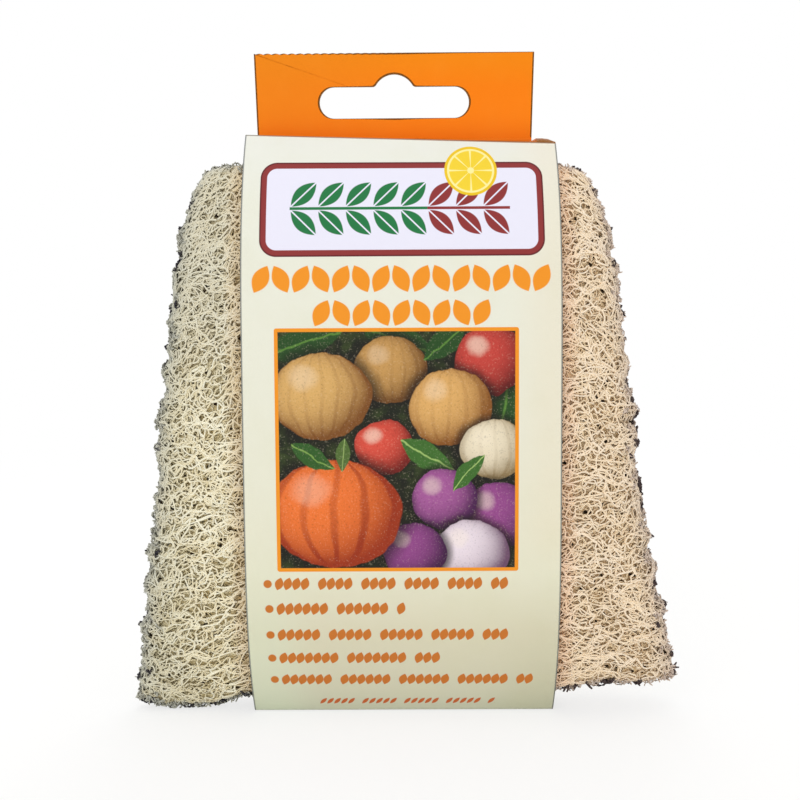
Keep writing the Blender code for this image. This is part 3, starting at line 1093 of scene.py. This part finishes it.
# Tubes along many lines at once. lines is fibre by point by xyz; a ring of sides lies round every
# inner point, square to the line, and the first and last points close it. Each fibre's faces have a
# cell of the map to themselves, and three numbers go with every point: tone, rim and depth.
def fibreMesh(name, lines, normals, radii, tones, sides, finish):
    fibres, count = lines.shape[:2]
    along = unit(np.gradient(lines, axis=1))
    aside = unit(np.cross(along, normals))
    out = np.cross(aside, along)
    turns = np.arange(sides)[:, None] * 2 * math.pi / sides
    ringed = slice(1, count - 1)
    spokes = aside[:, ringed, None] * np.cos(turns) + out[:, ringed, None] * np.sin(turns)
    rings = lines[:, ringed, None] + spokes * radii[:, ringed, None, None]
    inner = count - 2
    size = inner * sides + 2
    points = np.concatenate([rings.reshape(fibres, -1, 3), lines[:, :1], lines[:, -1:]], axis=1)
    index = np.arange(inner * sides).reshape(inner, sides)
    turned = np.roll(index, -1, axis=1)
    quads = joined(index[:-1], turned[:-1], turned[1:], index[1:]).reshape(-1, 4)
    first = joined(size - 2, turned[0], index[0])
    last = joined(size - 1, index[-1], turned[-1])
    tips = np.concatenate([first, last])
    offsets = (np.arange(fibres) * size)[:, None, None]
    groups = [((faces[None] + offsets).reshape(-1, faces.shape[1]), 0) for faces in (quads, tips)]
    made = meshOf(name, points.reshape(-1, 3), groups, [finish])
    tone = [np.repeat(tones[:, ringed], sides, axis=1), tones[:, :1], tones[:, -1:]]
    markFibre(made, np.concatenate(tone, axis=1))
    addCells(made, fibres, inner, sides)
    return made


# The map: fibre by fibre in square cells, along the fibre one way and round it the other
def addCells(made, fibres, inner, sides):
    columns = math.ceil(math.sqrt(fibres))
    number = np.arange(fibres)
    cell = joined(number % columns, number // columns)[:, None] + 0.1
    level = (np.arange(inner) + 1) / (inner + 1)
    low, high = level[:-1, None], level[1:, None]
    turn = np.arange(sides) / sides
    after, middle = turn + 1 / sides, turn + 1 / sides / 2
    quads = [(low, turn), (low, after), (high, after), (high, turn)]
    first = [(0.0, middle), (level[0], after), (level[0], turn)]
    last = [(1.0, middle), (level[-1], turn), (level[-1], after)]
    parts = []
    for corners in (quads, first, last):
        parts.append(np.stack([joined(*corner) for corner in corners], axis=-2).reshape(-1, 2))
    places = [((cell + 0.8 * part) / columns).ravel() for part in (parts[0], np.concatenate(parts[1:]))]
    layer = made.data.uv_layers.new(name="OFBake")
    layer.data.foreach_set("uv", np.concatenate(places).astype(np.float32))


# Colours of the pad: of its fibres from tan to cream, and of its left and right sides in pairs. The
# sides differ as painted light; deep is painted shade of depth, beside painted shade by the card, edge
# partly painted shade of the rims, and darkCut painted shade among the cut ends
padInk = {
    "fibre": [(0.0, "DED2AE"), (0.45, "F8EED6"), (1.0, "FFFDF4")],
    "sides": (-31.0, 33.0),
    "light": ("FDFBEE", "FFFBF2"),
    "deep": ("BEB28C", "CCB084"),
    "beside": ("CDA674", "F8C4A0"),
    "edge": ("B2B6B0", "DAC8BC"),
    "cut": ("BCBCB0", "DAC8BA"),
    "darkCut": ("34323A", "443638"),
}


# A colour that goes from one at the pad's left to another at its right
def sided(wire, x, name):
    left, right = padInk[name]
    return wire.blend(x.ease(*padInk["sides"]), ink(left), ink(right))


# The numbers at a fibre's points, as markFibre puts them there
def fibreNumbers(wire):
    layer = wire.node("ShaderNodeAttribute", {"attribute_name": "fibre"}, {}, output="Vector")
    tone = wire.node("ShaderNodeSeparateXYZ", {}, {0: layer}, output="X")
    return tone, tone.other("Y"), tone.other("Z")


# The pad's colour by place, with painted light and shade: creamier at the left and peachier at the
# right as painted light falling across it, a painted warm shade beside the card, duller where its upper
# left is felted, a painted shade at its far left, and greyer at the rims, partly as painted shade of
# their rounded edges, with painted dark shade dabbed on the outermost fibres
def loofahTint(wire, canvas, place, x, h, rim):
    # Painted light: the right side warmer and peachier than the left
    canvas = wire.blend(1.0, canvas, sided(wire, x, "light"), "MULTIPLY")
    canvas = wire.blend(x.ease(*padInk["sides"]) * 0.34, canvas, ink("FFD8B2"))
    felted = x.ease(-32.0, -38.0) * h.ease(60.0, 92.0)
    canvas = wire.blend(felted * 0.50, canvas, ink("CCC8B6"))
    # A painted warm shade on the pad beside the card's edges
    beside = abs(x).ease(37.0, 33.2) * abs(x).ease(8.0, 32.0)
    canvas = wire.blend(beside * 0.36, canvas, sided(wire, x, "beside"))
    # A painted shade over the pad's far left
    canvas = wire.blend(x.ease(-40.0, -52.0) * 0.30, canvas, ink("B8B8A4"))
    # Greyer at the rims, partly a painted shade of their rounded edges
    canvas = wire.blend(rim * h.ease(1.0, 7.0) * 0.62, canvas, sided(wire, x, "edge"))
    # Painted dark shade dabbed on the outermost fibres
    rimShadeDabs = wire.noise(place, 700.0, 2.0).ease(0.62, 0.68) * rim.ease(0.3, 0.7)
    return wire.blend(rimShadeDabs * 0.7, canvas, ink("3C383E"))


# Loofah fibre: tone runs from tan to cream, and depth browns it as a painted shade of the recesses,
# nearly black deep in the rims
def fibreFinish(name, recessShade):
    finish, wire, inputs = newFinish(name, 0.72, 0.25)
    place, x, h = cardPlaces(wire)
    tone, rim, deep = fibreNumbers(wire)
    cloud = wire.noise(place, 110.0, 3.0)
    grain = wire.noise(place, 2600.0, 3.0)
    share = tone + (cloud - 0.5) * 0.6 + (grain - 0.5) * 0.3
    canvas = wire.node("ShaderNodeValToRGB", rampStops(padInk["fibre"]), {0: share})
    # Painted shade: deeper fibres browner, and nearly black deep in the rims
    canvas = wire.blend(deep * recessShade, canvas, sided(wire, x, "deep"))
    canvas = wire.blend(deep * rim.ease(0.1, 0.9) * 0.8, canvas, ink("4A4034"))
    canvas = loofahTint(wire, canvas, place, x, h, rim)
    endFinish(inputs, canvas, grain * 0.3 + 0.55, grain, 0.5, 0.00003)
    return finish


# Cut ends at the rims: greyish, and some of them nearly black as a painted shade among the ends
def fringeFinish():
    finish, wire, inputs = newFinish("cut loofah ends", 0.8, 0.2)
    place, x = cardPlaces(wire)[:2]
    tone = fibreNumbers(wire)[0]
    grain = wire.noise(place, 2600.0, 3.0)
    # Painted shade: the clumps of lowest tone nearly black
    canvas = wire.blend(tone.ease(0.18, 0.24), sided(wire, x, "darkCut"), sided(wire, x, "cut"))
    canvas = wire.blend(grain.ease(0.4, 0.7) * 0.3, canvas, ink("6E675A"))
    endFinish(inputs, canvas, grain * 0.3 + 0.6, grain, 0.5, 0.00003)
    return finish


# A painted net: 1 on its fibres and 0 in its openings. The fibres are the borders of Voronoi cells
# whose places sway with a noise, and wide is half their width as a share of a cell.
def paintedNet(wire, place, scale, wide):
    values = {"Vector": place, "Scale": scale * 0.8, "Detail": 2.0}
    sway = wire.node("ShaderNodeTexNoise", {}, values, output="Color")
    reach = (1.8 / scale,) * 3
    values = {0: sway, 1: reach, 2: place}
    moved = wire.node("ShaderNodeVectorMath", {"operation": "MULTIPLY_ADD"}, values)
    values = {"Vector": moved, "Scale": scale}
    settings = {"feature": "DISTANCE_TO_EDGE"}
    border = wire.node("ShaderNodeTexVoronoi", settings, values, output="Distance")
    return border.ease(wide, wide * 0.4)


# The matted core under the fibres: two painted nets of the innermost fibres over brown pulp, with
# painted
# shade: near black in small pores where both nets are open, and dark towards the rims
def coreFinish():
    finish, wire, inputs = newFinish("matted loofah core", 0.9, 0.1)
    place, x, h = cardPlaces(wire)
    drawn = wire.node("ShaderNodeMapping", {}, {"Vector": place, "Scale": (0.55, 1.0, 1.0)})
    cloud = wire.noise(place, 300.0, 3.0)
    streaks = wire.noise(drawn, 1500.0, 3.0, 0.6)
    rim = fibreNumbers(wire)[1]
    fine = paintedNet(wire, drawn, 1150.0, 0.24)
    coarse = paintedNet(wire, drawn, 700.0, 0.17)
    openingShade = (1.0 - fine) * (1.0 - coarse) * cloud.ease(0.46, 0.58)
    canvas = wire.blend(streaks.ease(0.35, 0.7), ink("A48C5E"), ink("C9B080"))
    canvas = wire.blend(x.ease(-34.0, -40.0) * 0.6, canvas, ink("C2BC9E"))
    canvas = wire.blend(fine * 0.85, canvas, ink("DECCA2"))
    canvas = wire.blend(coarse, canvas, ink("EADCB8"))
    # Painted shade: dark towards the rims and near black in the pores
    canvas = wire.blend(rim.ease(0.1, 0.9) * 0.75, canvas, ink("2C241C"))
    canvas = wire.blend(openingShade * 0.92, canvas, ink("1E140C"))
    canvas = loofahTint(wire, canvas, place, x, h, rim * 0.5)
    endFinish(inputs, canvas, cloud * 0.2 + 0.75, coarse + fine * 0.6 - openingShade, 0.7, 0.0002)
    return finish


# Painted shade for the depths of the pores: nearly black
def poreShadeFinish():
    finish, wire, inputs = newFinish("loofah pore shade", 0.95, 0.05)
    speck = wire.noise(objectPlace(wire), 1800.0, 3.0)
    canvas = wire.blend(speck.ease(0.35, 0.75), ink("140D08"), ink("4A3A28"))
    endFinish(inputs, canvas, speck * 0.1 + 0.88, speck, 0.6, 0.0001)
    return finish


poreShade = poreShadeFinish()
fibreTop = fibreFinish("loofah fibre", 0.45)
fibreDeep = fibreFinish("inner loofah fibre", 0.55)
fringeCut = fringeFinish()
coreFelt = coreFinish()

# The core: its rows and columns, the share of the pad's length that it fills and how it thins at its
# ends, its depth and lumps in metres, and their waves as turns, climbs, share, count and seed
core = {
    "rows": 130,
    "columns": 330,
    "lengthShare": 0.98,
    "endFade": 0.06,
    "endDepthShare": 0.3,
    "felt": 0.0010,
    "lump": 0.00010,
    "waves": [(1, 6.0, 1.0, 9, 5), (3, 18.0, 0.6, 9, 6)],
}


# The matted core as one closed crowned form, a felt's depth inside the pad's outside. Its foot and
# top are closed by strips from the back half of the ring to the front half, which share a height.
def addCore():
    rows, columns, reach = core["rows"], core["columns"], core["lengthShare"]
    along = np.linspace(-reach, reach, rows)[:, None] * np.ones((1, columns))
    around = np.ones((rows, 1)) * (np.arange(columns) / columns)[None]
    lumps = 0.0
    for turns, climbs, share, count, seed in core["waves"]:
        waves = slowWaves(around * turns, along * climbs, count, seed)
        lumps = lumps + waves * core["lump"] * share
    ends = np.clip((reach - np.abs(along)) / core["endFade"], 0.0, 1.0)
    shares = core["endDepthShare"] + (1 - core["endDepthShare"]) * ends
    inside = (core["felt"] + lumps) * shares
    points = padPoint(around, along) - padNormal(around, along) * inside[..., None]
    faces = gridFaces(rows, columns, ring=True)[:, ::-1]
    half = columns // 2
    ring = np.arange(1, half - 1)
    strips = joined(ring, ring + 1, columns - ring - 1, columns - ring)
    corners = np.array([[0, 1, columns - 1], [half - 1, half, half + 1]])
    last = (rows - 1) * columns
    groups = [(faces, 0), (strips[:, ::-1], 0), (corners[:, ::-1], 0)]
    groups += [(strips + last, 0), (corners + last, 0)]
    made = meshOf("loofah_core", points.reshape(-1, 3), groups, [coreFelt])
    rim = rimShare(around, along)
    markFibre(made, joined(rim * 0, rim, rim * 0))
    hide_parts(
        "loofah_front_wall", "loofah_back_wall",
        "core_web_left", "core_web_middle", "core_web_right",
    )
    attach(made, "loofah_pad")


# Points spread over the pad: one at random in every cell of a grid, in millimetres round and along
def scattered(pick, spacing):
    columns, rows = int(girth / spacing), int(length / spacing)
    column, row = np.meshgrid(np.arange(columns), np.arange(rows))
    sideways = (column + pick.random(column.shape)) * girth / columns
    climb = (row + pick.random(row.shape)) * length / rows - length / 2
    return joined(sideways.ravel(), climb.ravel())


# Links between near neighbours: each point is joined to some of the nearest ones, distances being
# counted shorter sideways, so that more links lie level
def linked(pick, places, wanted, among, stretch):
    links = []
    for start in range(0, len(places), 500):
        part = places[start:start + 500]
        sideways = np.abs(part[:, None, 0] - places[None, :, 0])
        sideways = np.minimum(sideways, girth - sideways) / stretch
        away = np.hypot(sideways, part[:, None, 1] - places[None, :, 1])
        near = np.argsort(away, axis=1)[:, 1:among + 1]
        chosen = np.argsort(pick.random(near.shape), axis=1)[:, :wanted]
        ends = np.take_along_axis(near, chosen, axis=1)
        begins = np.arange(start, start + len(part))[:, None]
        links.append(joined(begins, ends).reshape(-1, 2))
    links = np.sort(np.concatenate(links), axis=1)
    return np.unique(links, axis=0)


# Puts fibres that are drawn on the pad's map, in millimetres, onto the pad at a depth
def laidOn(rounds, climbs, deep):
    around = rounds * mm / pad["girth"]
    along = np.clip(climbs * mm / pad["length"] * 2, -pad["endLimit"], pad["endLimit"])
    normals = padNormal(around, along)
    lines = padPoint(around, along) - normals * (deep * mm)[..., None]
    return lines, normals, rimShare(around, along)


# A lattice of links: points near a grid, joined along its rows and, at every second point, to the
# next row, so that the cells are even and six-sided. The rows wander up and down in slow waves.
def latticed(pick, spec):
    columns, rows = int(girth / spec["cell"][0] / 2) * 2, int(length / spec["cell"][1])
    column, row = np.meshgrid(np.arange(columns), np.arange(rows))
    jitter = spec["jitter"]
    sideways = (column + 0.5 + pick.uniform(-jitter, jitter, column.shape)) * girth / columns
    climb = (row + 0.5 + pick.uniform(-jitter, jitter, row.shape)) * length / rows - length / 2
    lean = pad["rowLean"]
    for _ in range(pad["rowWaves"]):
        phase = 2 * math.pi * pick.integers(*pad["rowTurns"]) * sideways / girth
        phase = phase + pick.uniform(*pad["phases"])
        wave = np.sin(phase + climb * pick.uniform(-lean, lean))
        climb = climb + spec["wander"] * wave * np.clip(np.cos(math.pi * climb / length), 0.0, 1.0)
    places = joined(sideways.ravel(), climb.ravel())
    index = np.arange(columns * rows).reshape(rows, columns)
    after = np.roll(index, -1, axis=1)
    level = joined(index, after).reshape(-1, 2)
    upright = joined(index[:-1], index[1:])[(row + column)[:-1] % 2 == 0]
    slanted = joined(index[:-1], after[1:])[pick.random((rows - 1, columns)) < spec["slants"]]
    links = np.concatenate([level, upright, slanted])
    return places, links[pick.random(len(links)) < spec["kept"]]


# Pores: spots where every net leaves an opening, some anywhere and more towards the rims
def poreSpots(pick):
    count = pores["tried"]
    spots = pick.uniform((0.0, -length / 2), (girth, length / 2), (count, 2))
    rims = rimShare(spots[:, 0] / girth, spots[:, 1] * 2 / length)
    kept = pick.random(count) < pores["plainShare"] + (pores["rimShare"] - pores["plainShare"]) * rims
    return spots[kept], pick.uniform(*pores["radius"], int(kept.sum()))


# Tells which fibres keep clear of every pore along their middle part
def clearOfPores(rounds, climbs, spots, sizes):
    clear = np.ones(len(rounds), bool)
    for step in range(1, rounds.shape[1] - 1):
        for first in range(0, len(rounds), 4000):
            part = slice(first, first + 4000)
            sideways = rounds[part, step, None] - spots[None, :, 0]
            away = np.hypot(sideways, climbs[part, step, None] - spots[None, :, 1])
            clear[part] &= (away > sizes * pores["clearShare"]).all(axis=1)
    return clear


# Painted shade in the pores: small uneven dark plugs, closed and rooted in the core
def addPores(pick, spots, sizes):
    turns = np.linspace(0.0, 2 * math.pi, pores["corners"], endpoint=False)
    reach = sizes[:, None] * pick.uniform(*pores["uneven"], (len(sizes), len(turns)))
    rounds = spots[:, :1] + reach * np.cos(turns) * pores["stretch"]
    climbs = spots[:, 1:] + reach * np.sin(turns)
    rounds = np.hstack([rounds, spots[:, :1], spots[:, :1]])
    climbs = np.hstack([climbs, spots[:, 1:], spots[:, 1:]])
    deep = np.full(rounds.shape, pores["depth"])
    deep[:, -2] += pores["dish"]
    deep[:, -1] += pores["root"]
    points = laidOn(rounds, climbs, deep)[0]
    count = len(turns)
    ring = np.arange(count)
    after = np.roll(ring, -1)
    mouth, root = joined(count, ring, after), joined(count + 1, after, ring)
    offsets = (np.arange(len(sizes)) * (count + 2))[:, None, None]
    faces = (np.concatenate([mouth, root])[None] + offsets).reshape(-1, 3)
    made = meshOf("loofah_pore_shade", points.reshape(-1, 3), [(faces, 0)], [poreShade])
    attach(made, "loofah_pad")


# Shares of the way along a fibre: even ones, and one near either end that keeps the tip blunt
def bluntShares(points, near):
    even = np.linspace(0.0, 1.0, points - 2)[1:-1]
    return np.concatenate([[0.0, near], even, [1 - near, 1.0]])


# The net: curved fibres from point to point. Each bows to one side by a share of its length and its
# depth runs from one point's to the other's, rising between them.
def netFibres(pick, spec):
    if "cell" in spec:
        places, links = latticed(pick, spec)
    else:
        places = scattered(pick, spec["spacing"])
        links = linked(pick, places, spec["links"], spec["among"], spec["stretch"])
    start, end = places[links[:, 0]], places[links[:, 1]].copy()
    jump = end[:, 0] - start[:, 0]
    end[:, 0] -= np.round(jump / girth) * girth
    run = end - start
    shares = bluntShares(spec["points"], spec["near"])
    bow = pick.normal(0.0, spec["bow"], len(links))[:, None] * np.sin(math.pi * shares)
    bow = bow + pick.normal(0.0, spec["bow"] / 2, len(links))[:, None] * np.sin(2 * math.pi * shares)
    rounds = start[:, :1] + run[:, :1] * shares - run[:, 1:] * bow
    climbs = start[:, 1:] + run[:, 1:] * shares + run[:, :1] * bow
    depths = pick.uniform(*spec["depth"], len(places))
    deep = depths[links[:, 0], None] * (1 - shares) + depths[links[:, 1], None] * shares
    deep = deep - pick.uniform(0.0, spec["rise"], len(links))[:, None] * np.sin(math.pi * shares)
    thick = pick.uniform(*spec["radius"], len(links))[:, None]
    thick = thick * (1 + spec["thicker"] * (2 * shares - 1) ** 2)
    return rounds, climbs, np.maximum(deep, thick), thick


# Long fibres: each walks from a start with a heading that turns steadily; those of a bundle share
# the start and fan out
def longFibres(pick, spec):
    bundles, members, points = spec["bundles"], spec["members"], spec["points"]
    count = bundles * members
    start = joined(pick.uniform(0, girth, bundles), pick.uniform(-length / 2, length / 2, bundles))
    start = np.repeat(start, members, axis=0) + pick.normal(0, spec["apart"], (count, 2))
    heading = pick.normal(0.0, spec["spread"], bundles) + math.pi * pick.integers(0, 2, bundles)
    heading = np.repeat(heading, members) + pick.normal(0.0, spec["astray"], count)
    reach = pick.uniform(*spec["reach"], count)[:, None]
    shares = np.linspace(0.0, 1.0, points)[None]
    turning = pick.normal(0.0, spec["turning"], count)[:, None]
    fan = np.tile(np.linspace(-1.0, 1.0, members), bundles)[:, None] * spec["fan"]
    headings = heading[:, None] + turning * shares + fan * shares ** spec["fanPower"]
    sway = pick.normal(0, spec["sway"], count)[:, None]
    headings = headings + sway * np.sin(2 * math.pi * shares)
    moves = np.repeat(reach / (points - 1), points, axis=1)
    moves[:, 0] = 0.0
    rounds = start[:, :1] + np.cumsum(moves * np.cos(headings), axis=1)
    climbs = start[:, 1:] + np.cumsum(moves * np.sin(headings), axis=1)
    deep = pick.uniform(*spec["depth"], count)[:, None] + spec["endSink"] * np.abs(2 * shares - 1) ** 4
    ripple = pick.uniform(0, spec["ripple"], count)[:, None]
    deep = deep + ripple * np.sin(3 * math.pi * shares + 1)
    root, taper = spec["taper"]
    thick = pick.uniform(*spec["radius"], count)[:, None] * (root - taper * shares)
    return rounds, climbs, np.maximum(deep, thick), thick


# Splits fibres into quarters of the pad, and makes each a piece
def addFibres(name, pick, spec, drawn):
    rounds, climbs, deep, thick = drawn
    lines, normals, rims = laidOn(rounds, climbs, deep)
    tone = pick.uniform(*spec["tone"], len(lines))[:, None]
    start, reach = spec["shadeDepth"]
    tones = joined(tone, rims, np.clip((deep - start) / reach, 0.0, 1.0))
    middles = lines.mean(axis=1)
    ahead, leftward = middles[:, 1] < footPlace[1], middles[:, 0] < footPlace[0]
    for place, side in (("front", ahead), ("back", ~ahead)):
        for end, half in (("left", leftward), ("right", ~leftward)):
            chosen = side & half
            parts = [part[chosen] for part in (lines, normals, thick * mm, tones)]
            made = fibreMesh(f"{name}_{place}_{end}", *parts, spec["sides"], spec["finish"])
            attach(made, "loofah_pad")
            print("  ", made.name, len(made.data.polygons), "faces")


# Nets, from the one matted into the core to the open one outside, all in millimetres; the deeper a net
# lies, the lower its tones, as painted shade
nets = {
    "loofah_under_mesh": {
        "cell": (1.75, 1.2), "jitter": 0.42, "wander": 1.6, "slants": 0.35, "kept": 0.94,
        "points": 5, "bow": 0.22, "depth": (0.5, 0.9), "rise": 0.15, "radius": (0.14, 0.19),
        "tone": (0.1, 0.6), "finish": fibreDeep,
    },
    "loofah_mesh": {
        "cell": (1.7, 1.15), "jitter": 0.42, "wander": 1.6, "slants": 0.3, "kept": 0.92,
        "points": 6, "bow": 0.24, "depth": (0.2, 0.6), "rise": 0.2, "radius": (0.15, 0.21),
        "tone": (0.2, 0.8),
    },
    "loofah_outer_mesh": {
        "cell": (2.2, 1.35), "jitter": 0.45, "wander": 1.8, "slants": 0.3, "kept": 0.88,
        "points": 7, "bow": 0.26, "depth": (0.0, 0.32), "rise": 0.15, "radius": (0.17, 0.23),
        "tone": (0.45, 1.0),
    },
    "loofah_net": {
        "spacing": 3.6, "links": 2, "among": 5, "stretch": 1.7, "points": 8, "bow": 0.22,
        "sides": 4, "depth": (0.0, 0.3), "rise": 0.15, "radius": (0.16, 0.22), "tone": (0.6, 1.0),
    },
}

longSpec = {
    "bundles": 420, "members": 3, "reach": (6.0, 15.0), "points": 12, "spread": 0.42, "astray": 0.15,
    "apart": 0.7, "turning": 0.7, "fan": 0.42, "fanPower": 0.7, "sway": 0.3, "depth": (0.0, 0.25),
    "endSink": 0.6, "ripple": 0.2, "radius": (0.16, 0.22), "taper": (1.1, 0.4), "sides": 4,
    "tone": (0.6, 1.0),
}

# What fibres have where their own values don't say
usual = {"sides": 3, "finish": fibreTop, "near": 0.05, "thicker": 0.3, "shadeDepth": (0.25, 0.9)}

# Pores, in millimetres: how many are tried, and the shares of them kept
pores = {
    "tried": 8600,
    "plainShare": 0.14,
    "rimShare": 0.55,
    "clearShare": 0.9,
    "radius": (0.20, 0.42),
    "uneven": (0.8, 1.3),
    "stretch": 1.25,
    "depth": 0.62,
    "dish": 0.05,
    "root": 0.6,
    "corners": 8,
}

# Clumps of cut ends and loops that stand off the rims, in millimetres
fringe = {
    "clumps": 980,
    "each": 5,
    "spread": 0.36,
    "bandWidth": 3.6,
    "sideShare": 0.58,
    "footShare": 0.28,
    "footLonger": 1.5,
    "stepShare": 0.6180339887,
    "looseShare": 0.002,
    "loopShare": 0.45,
    "darkShare": 0.21,
    "toneSpread": 0.03,
    "darkGirth": 1.25,
    "points": 6,
    "reach": (0.25, 1.0),
    "root": 0.35,
    "bend": 0.6,
    "loopRise": 0.8,
    "loopWidth": 2.2,
    "radius": (0.16, 0.25),
    "taper": (1.1, 0.45),
    "near": 0.06,
    "endShares": (0.965, 0.999),
    "sideEndShare": 0.97,
}

# What the fringe keeps clear of the card and of the ground, in metres
margins = {"beside": 0.001, "ground": 0.0001, "top": 0.0002, "depth": 0.00015}


# Holds points inside the room of the band, so that they clear the card as the pad slides
def keptInside(points):
    inBand = np.abs(points[..., 0] - footPlace[0]) < card["width"] / 2 + margins["beside"]
    low = footPlace[2] + np.where(inBand, pad["clearance"], margins["ground"])
    high = footPlace[2] + card["height"] - card["thickness"] - margins["top"]
    kept = points.copy()
    kept[..., 2] = np.clip(points[..., 2], low, high)
    room = bandRoom(kept[..., 2] - footPlace[2]) - margins["depth"]
    kept[..., 1] = np.clip(points[..., 1], footPlace[1] - room, footPlace[1] + room)
    return kept


# Fringe in clumps: each fibre leaves the rim along the normal and either bends over or loops back.
# The clumps of the foot and of the top go round it by steps of the golden share, so no part is bare.
def addFringe(pick):
    clumps, each = fringe["clumps"], fringe["each"]
    place = pick.random(clumps)
    atSide, atFoot = place < fringe["sideShare"], place > 1 - fringe["footShare"]
    tone = pick.random(clumps)
    rims = np.where(pick.random(clumps) < 0.5, 0.0, 0.5)
    rims = rims + pick.normal(0, fringe["bandWidth"], clumps) * mm / pad["girth"]
    rank = np.where(atFoot, np.cumsum(atFoot), np.cumsum(~atSide & ~atFoot))
    stepped = rank * fringe["stepShare"] + pick.random(clumps) * fringe["looseShare"]
    around = np.where(atSide, rims, stepped % 1.0)
    ends = np.where(atFoot, -1.0, 1.0) * pick.uniform(*fringe["endShares"], clumps)
    reach = fringe["sideEndShare"]
    along = np.where(atSide, pick.uniform(-reach, reach, clumps), ends)
    count = clumps * each
    longer = np.repeat(np.where(atFoot, fringe["footLonger"], 1.0), each)
    tone = np.repeat(tone, each) + pick.normal(0, fringe["toneSpread"], count)
    tone = np.clip(tone, 0.0, 1.0)
    loose = pick.normal(0, fringe["spread"], (count, 2))
    around = np.repeat(around, each) + loose[:, 0] * mm / pad["girth"]
    along = np.repeat(along, each) + loose[:, 1] * 2 * mm / pad["length"]
    along = np.clip(along, -pad["endLimit"], pad["endLimit"])
    base, normal = padPoint(around, along), padNormal(around, along)
    shares = bluntShares(fringe["points"], fringe["near"])
    sideways = unit(np.cross(normal, pick.normal(0, 1.0, (count, 3))))
    reach = pick.uniform(*fringe["reach"], count) * longer * mm
    looped = (pick.random(count) < fringe["loopShare"])[:, None]
    outward = np.where(looped, np.sin(math.pi * shares) * fringe["loopRise"], shares)
    across = np.where(looped, fringe["loopWidth"] * (shares - 0.5), fringe["bend"] * shares**2)
    path = normal[:, None] * (outward * reach[:, None])[..., None]
    path = path + sideways[:, None] * (across * reach[:, None])[..., None]
    lines = keptInside(base[:, None] - normal[:, None] * fringe["root"] * mm + path)
    stout = np.where(tone < fringe["darkShare"], fringe["darkGirth"], 1.0)
    root, taper = fringe["taper"]
    radii = (pick.uniform(*fringe["radius"], count) * stout)[:, None] * mm * (root - taper * shares)
    tones = joined(tone[:, None], np.ones_like(outward), outward)
    normals = unit(np.cross(np.gradient(lines, axis=1), sideways[:, None]))
    made = fibreMesh("loofah_fringe", lines, normals, radii, tones, 4, fringeCut)
    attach(made, "loofah_pad")
    print("  ", made.name, len(made.data.polygons), "faces")


def addPad():
    pick = np.random.default_rng(pad["seed"])
    addCore()
    spots, sizes = poreSpots(pick)
    addPores(pick, spots, sizes)
    for name, spec in nets.items():
        spec = usual | spec
        drawn = netFibres(pick, spec)
        clear = clearOfPores(drawn[0], drawn[1], spots, sizes)
        addFibres(name, pick, spec, [part[clear] for part in drawn])
    addFibres("loofah_long", pick, usual | longSpec, longFibres(pick, longSpec))
    addFringe(pick)


addPad()
print("loofah pad ready")
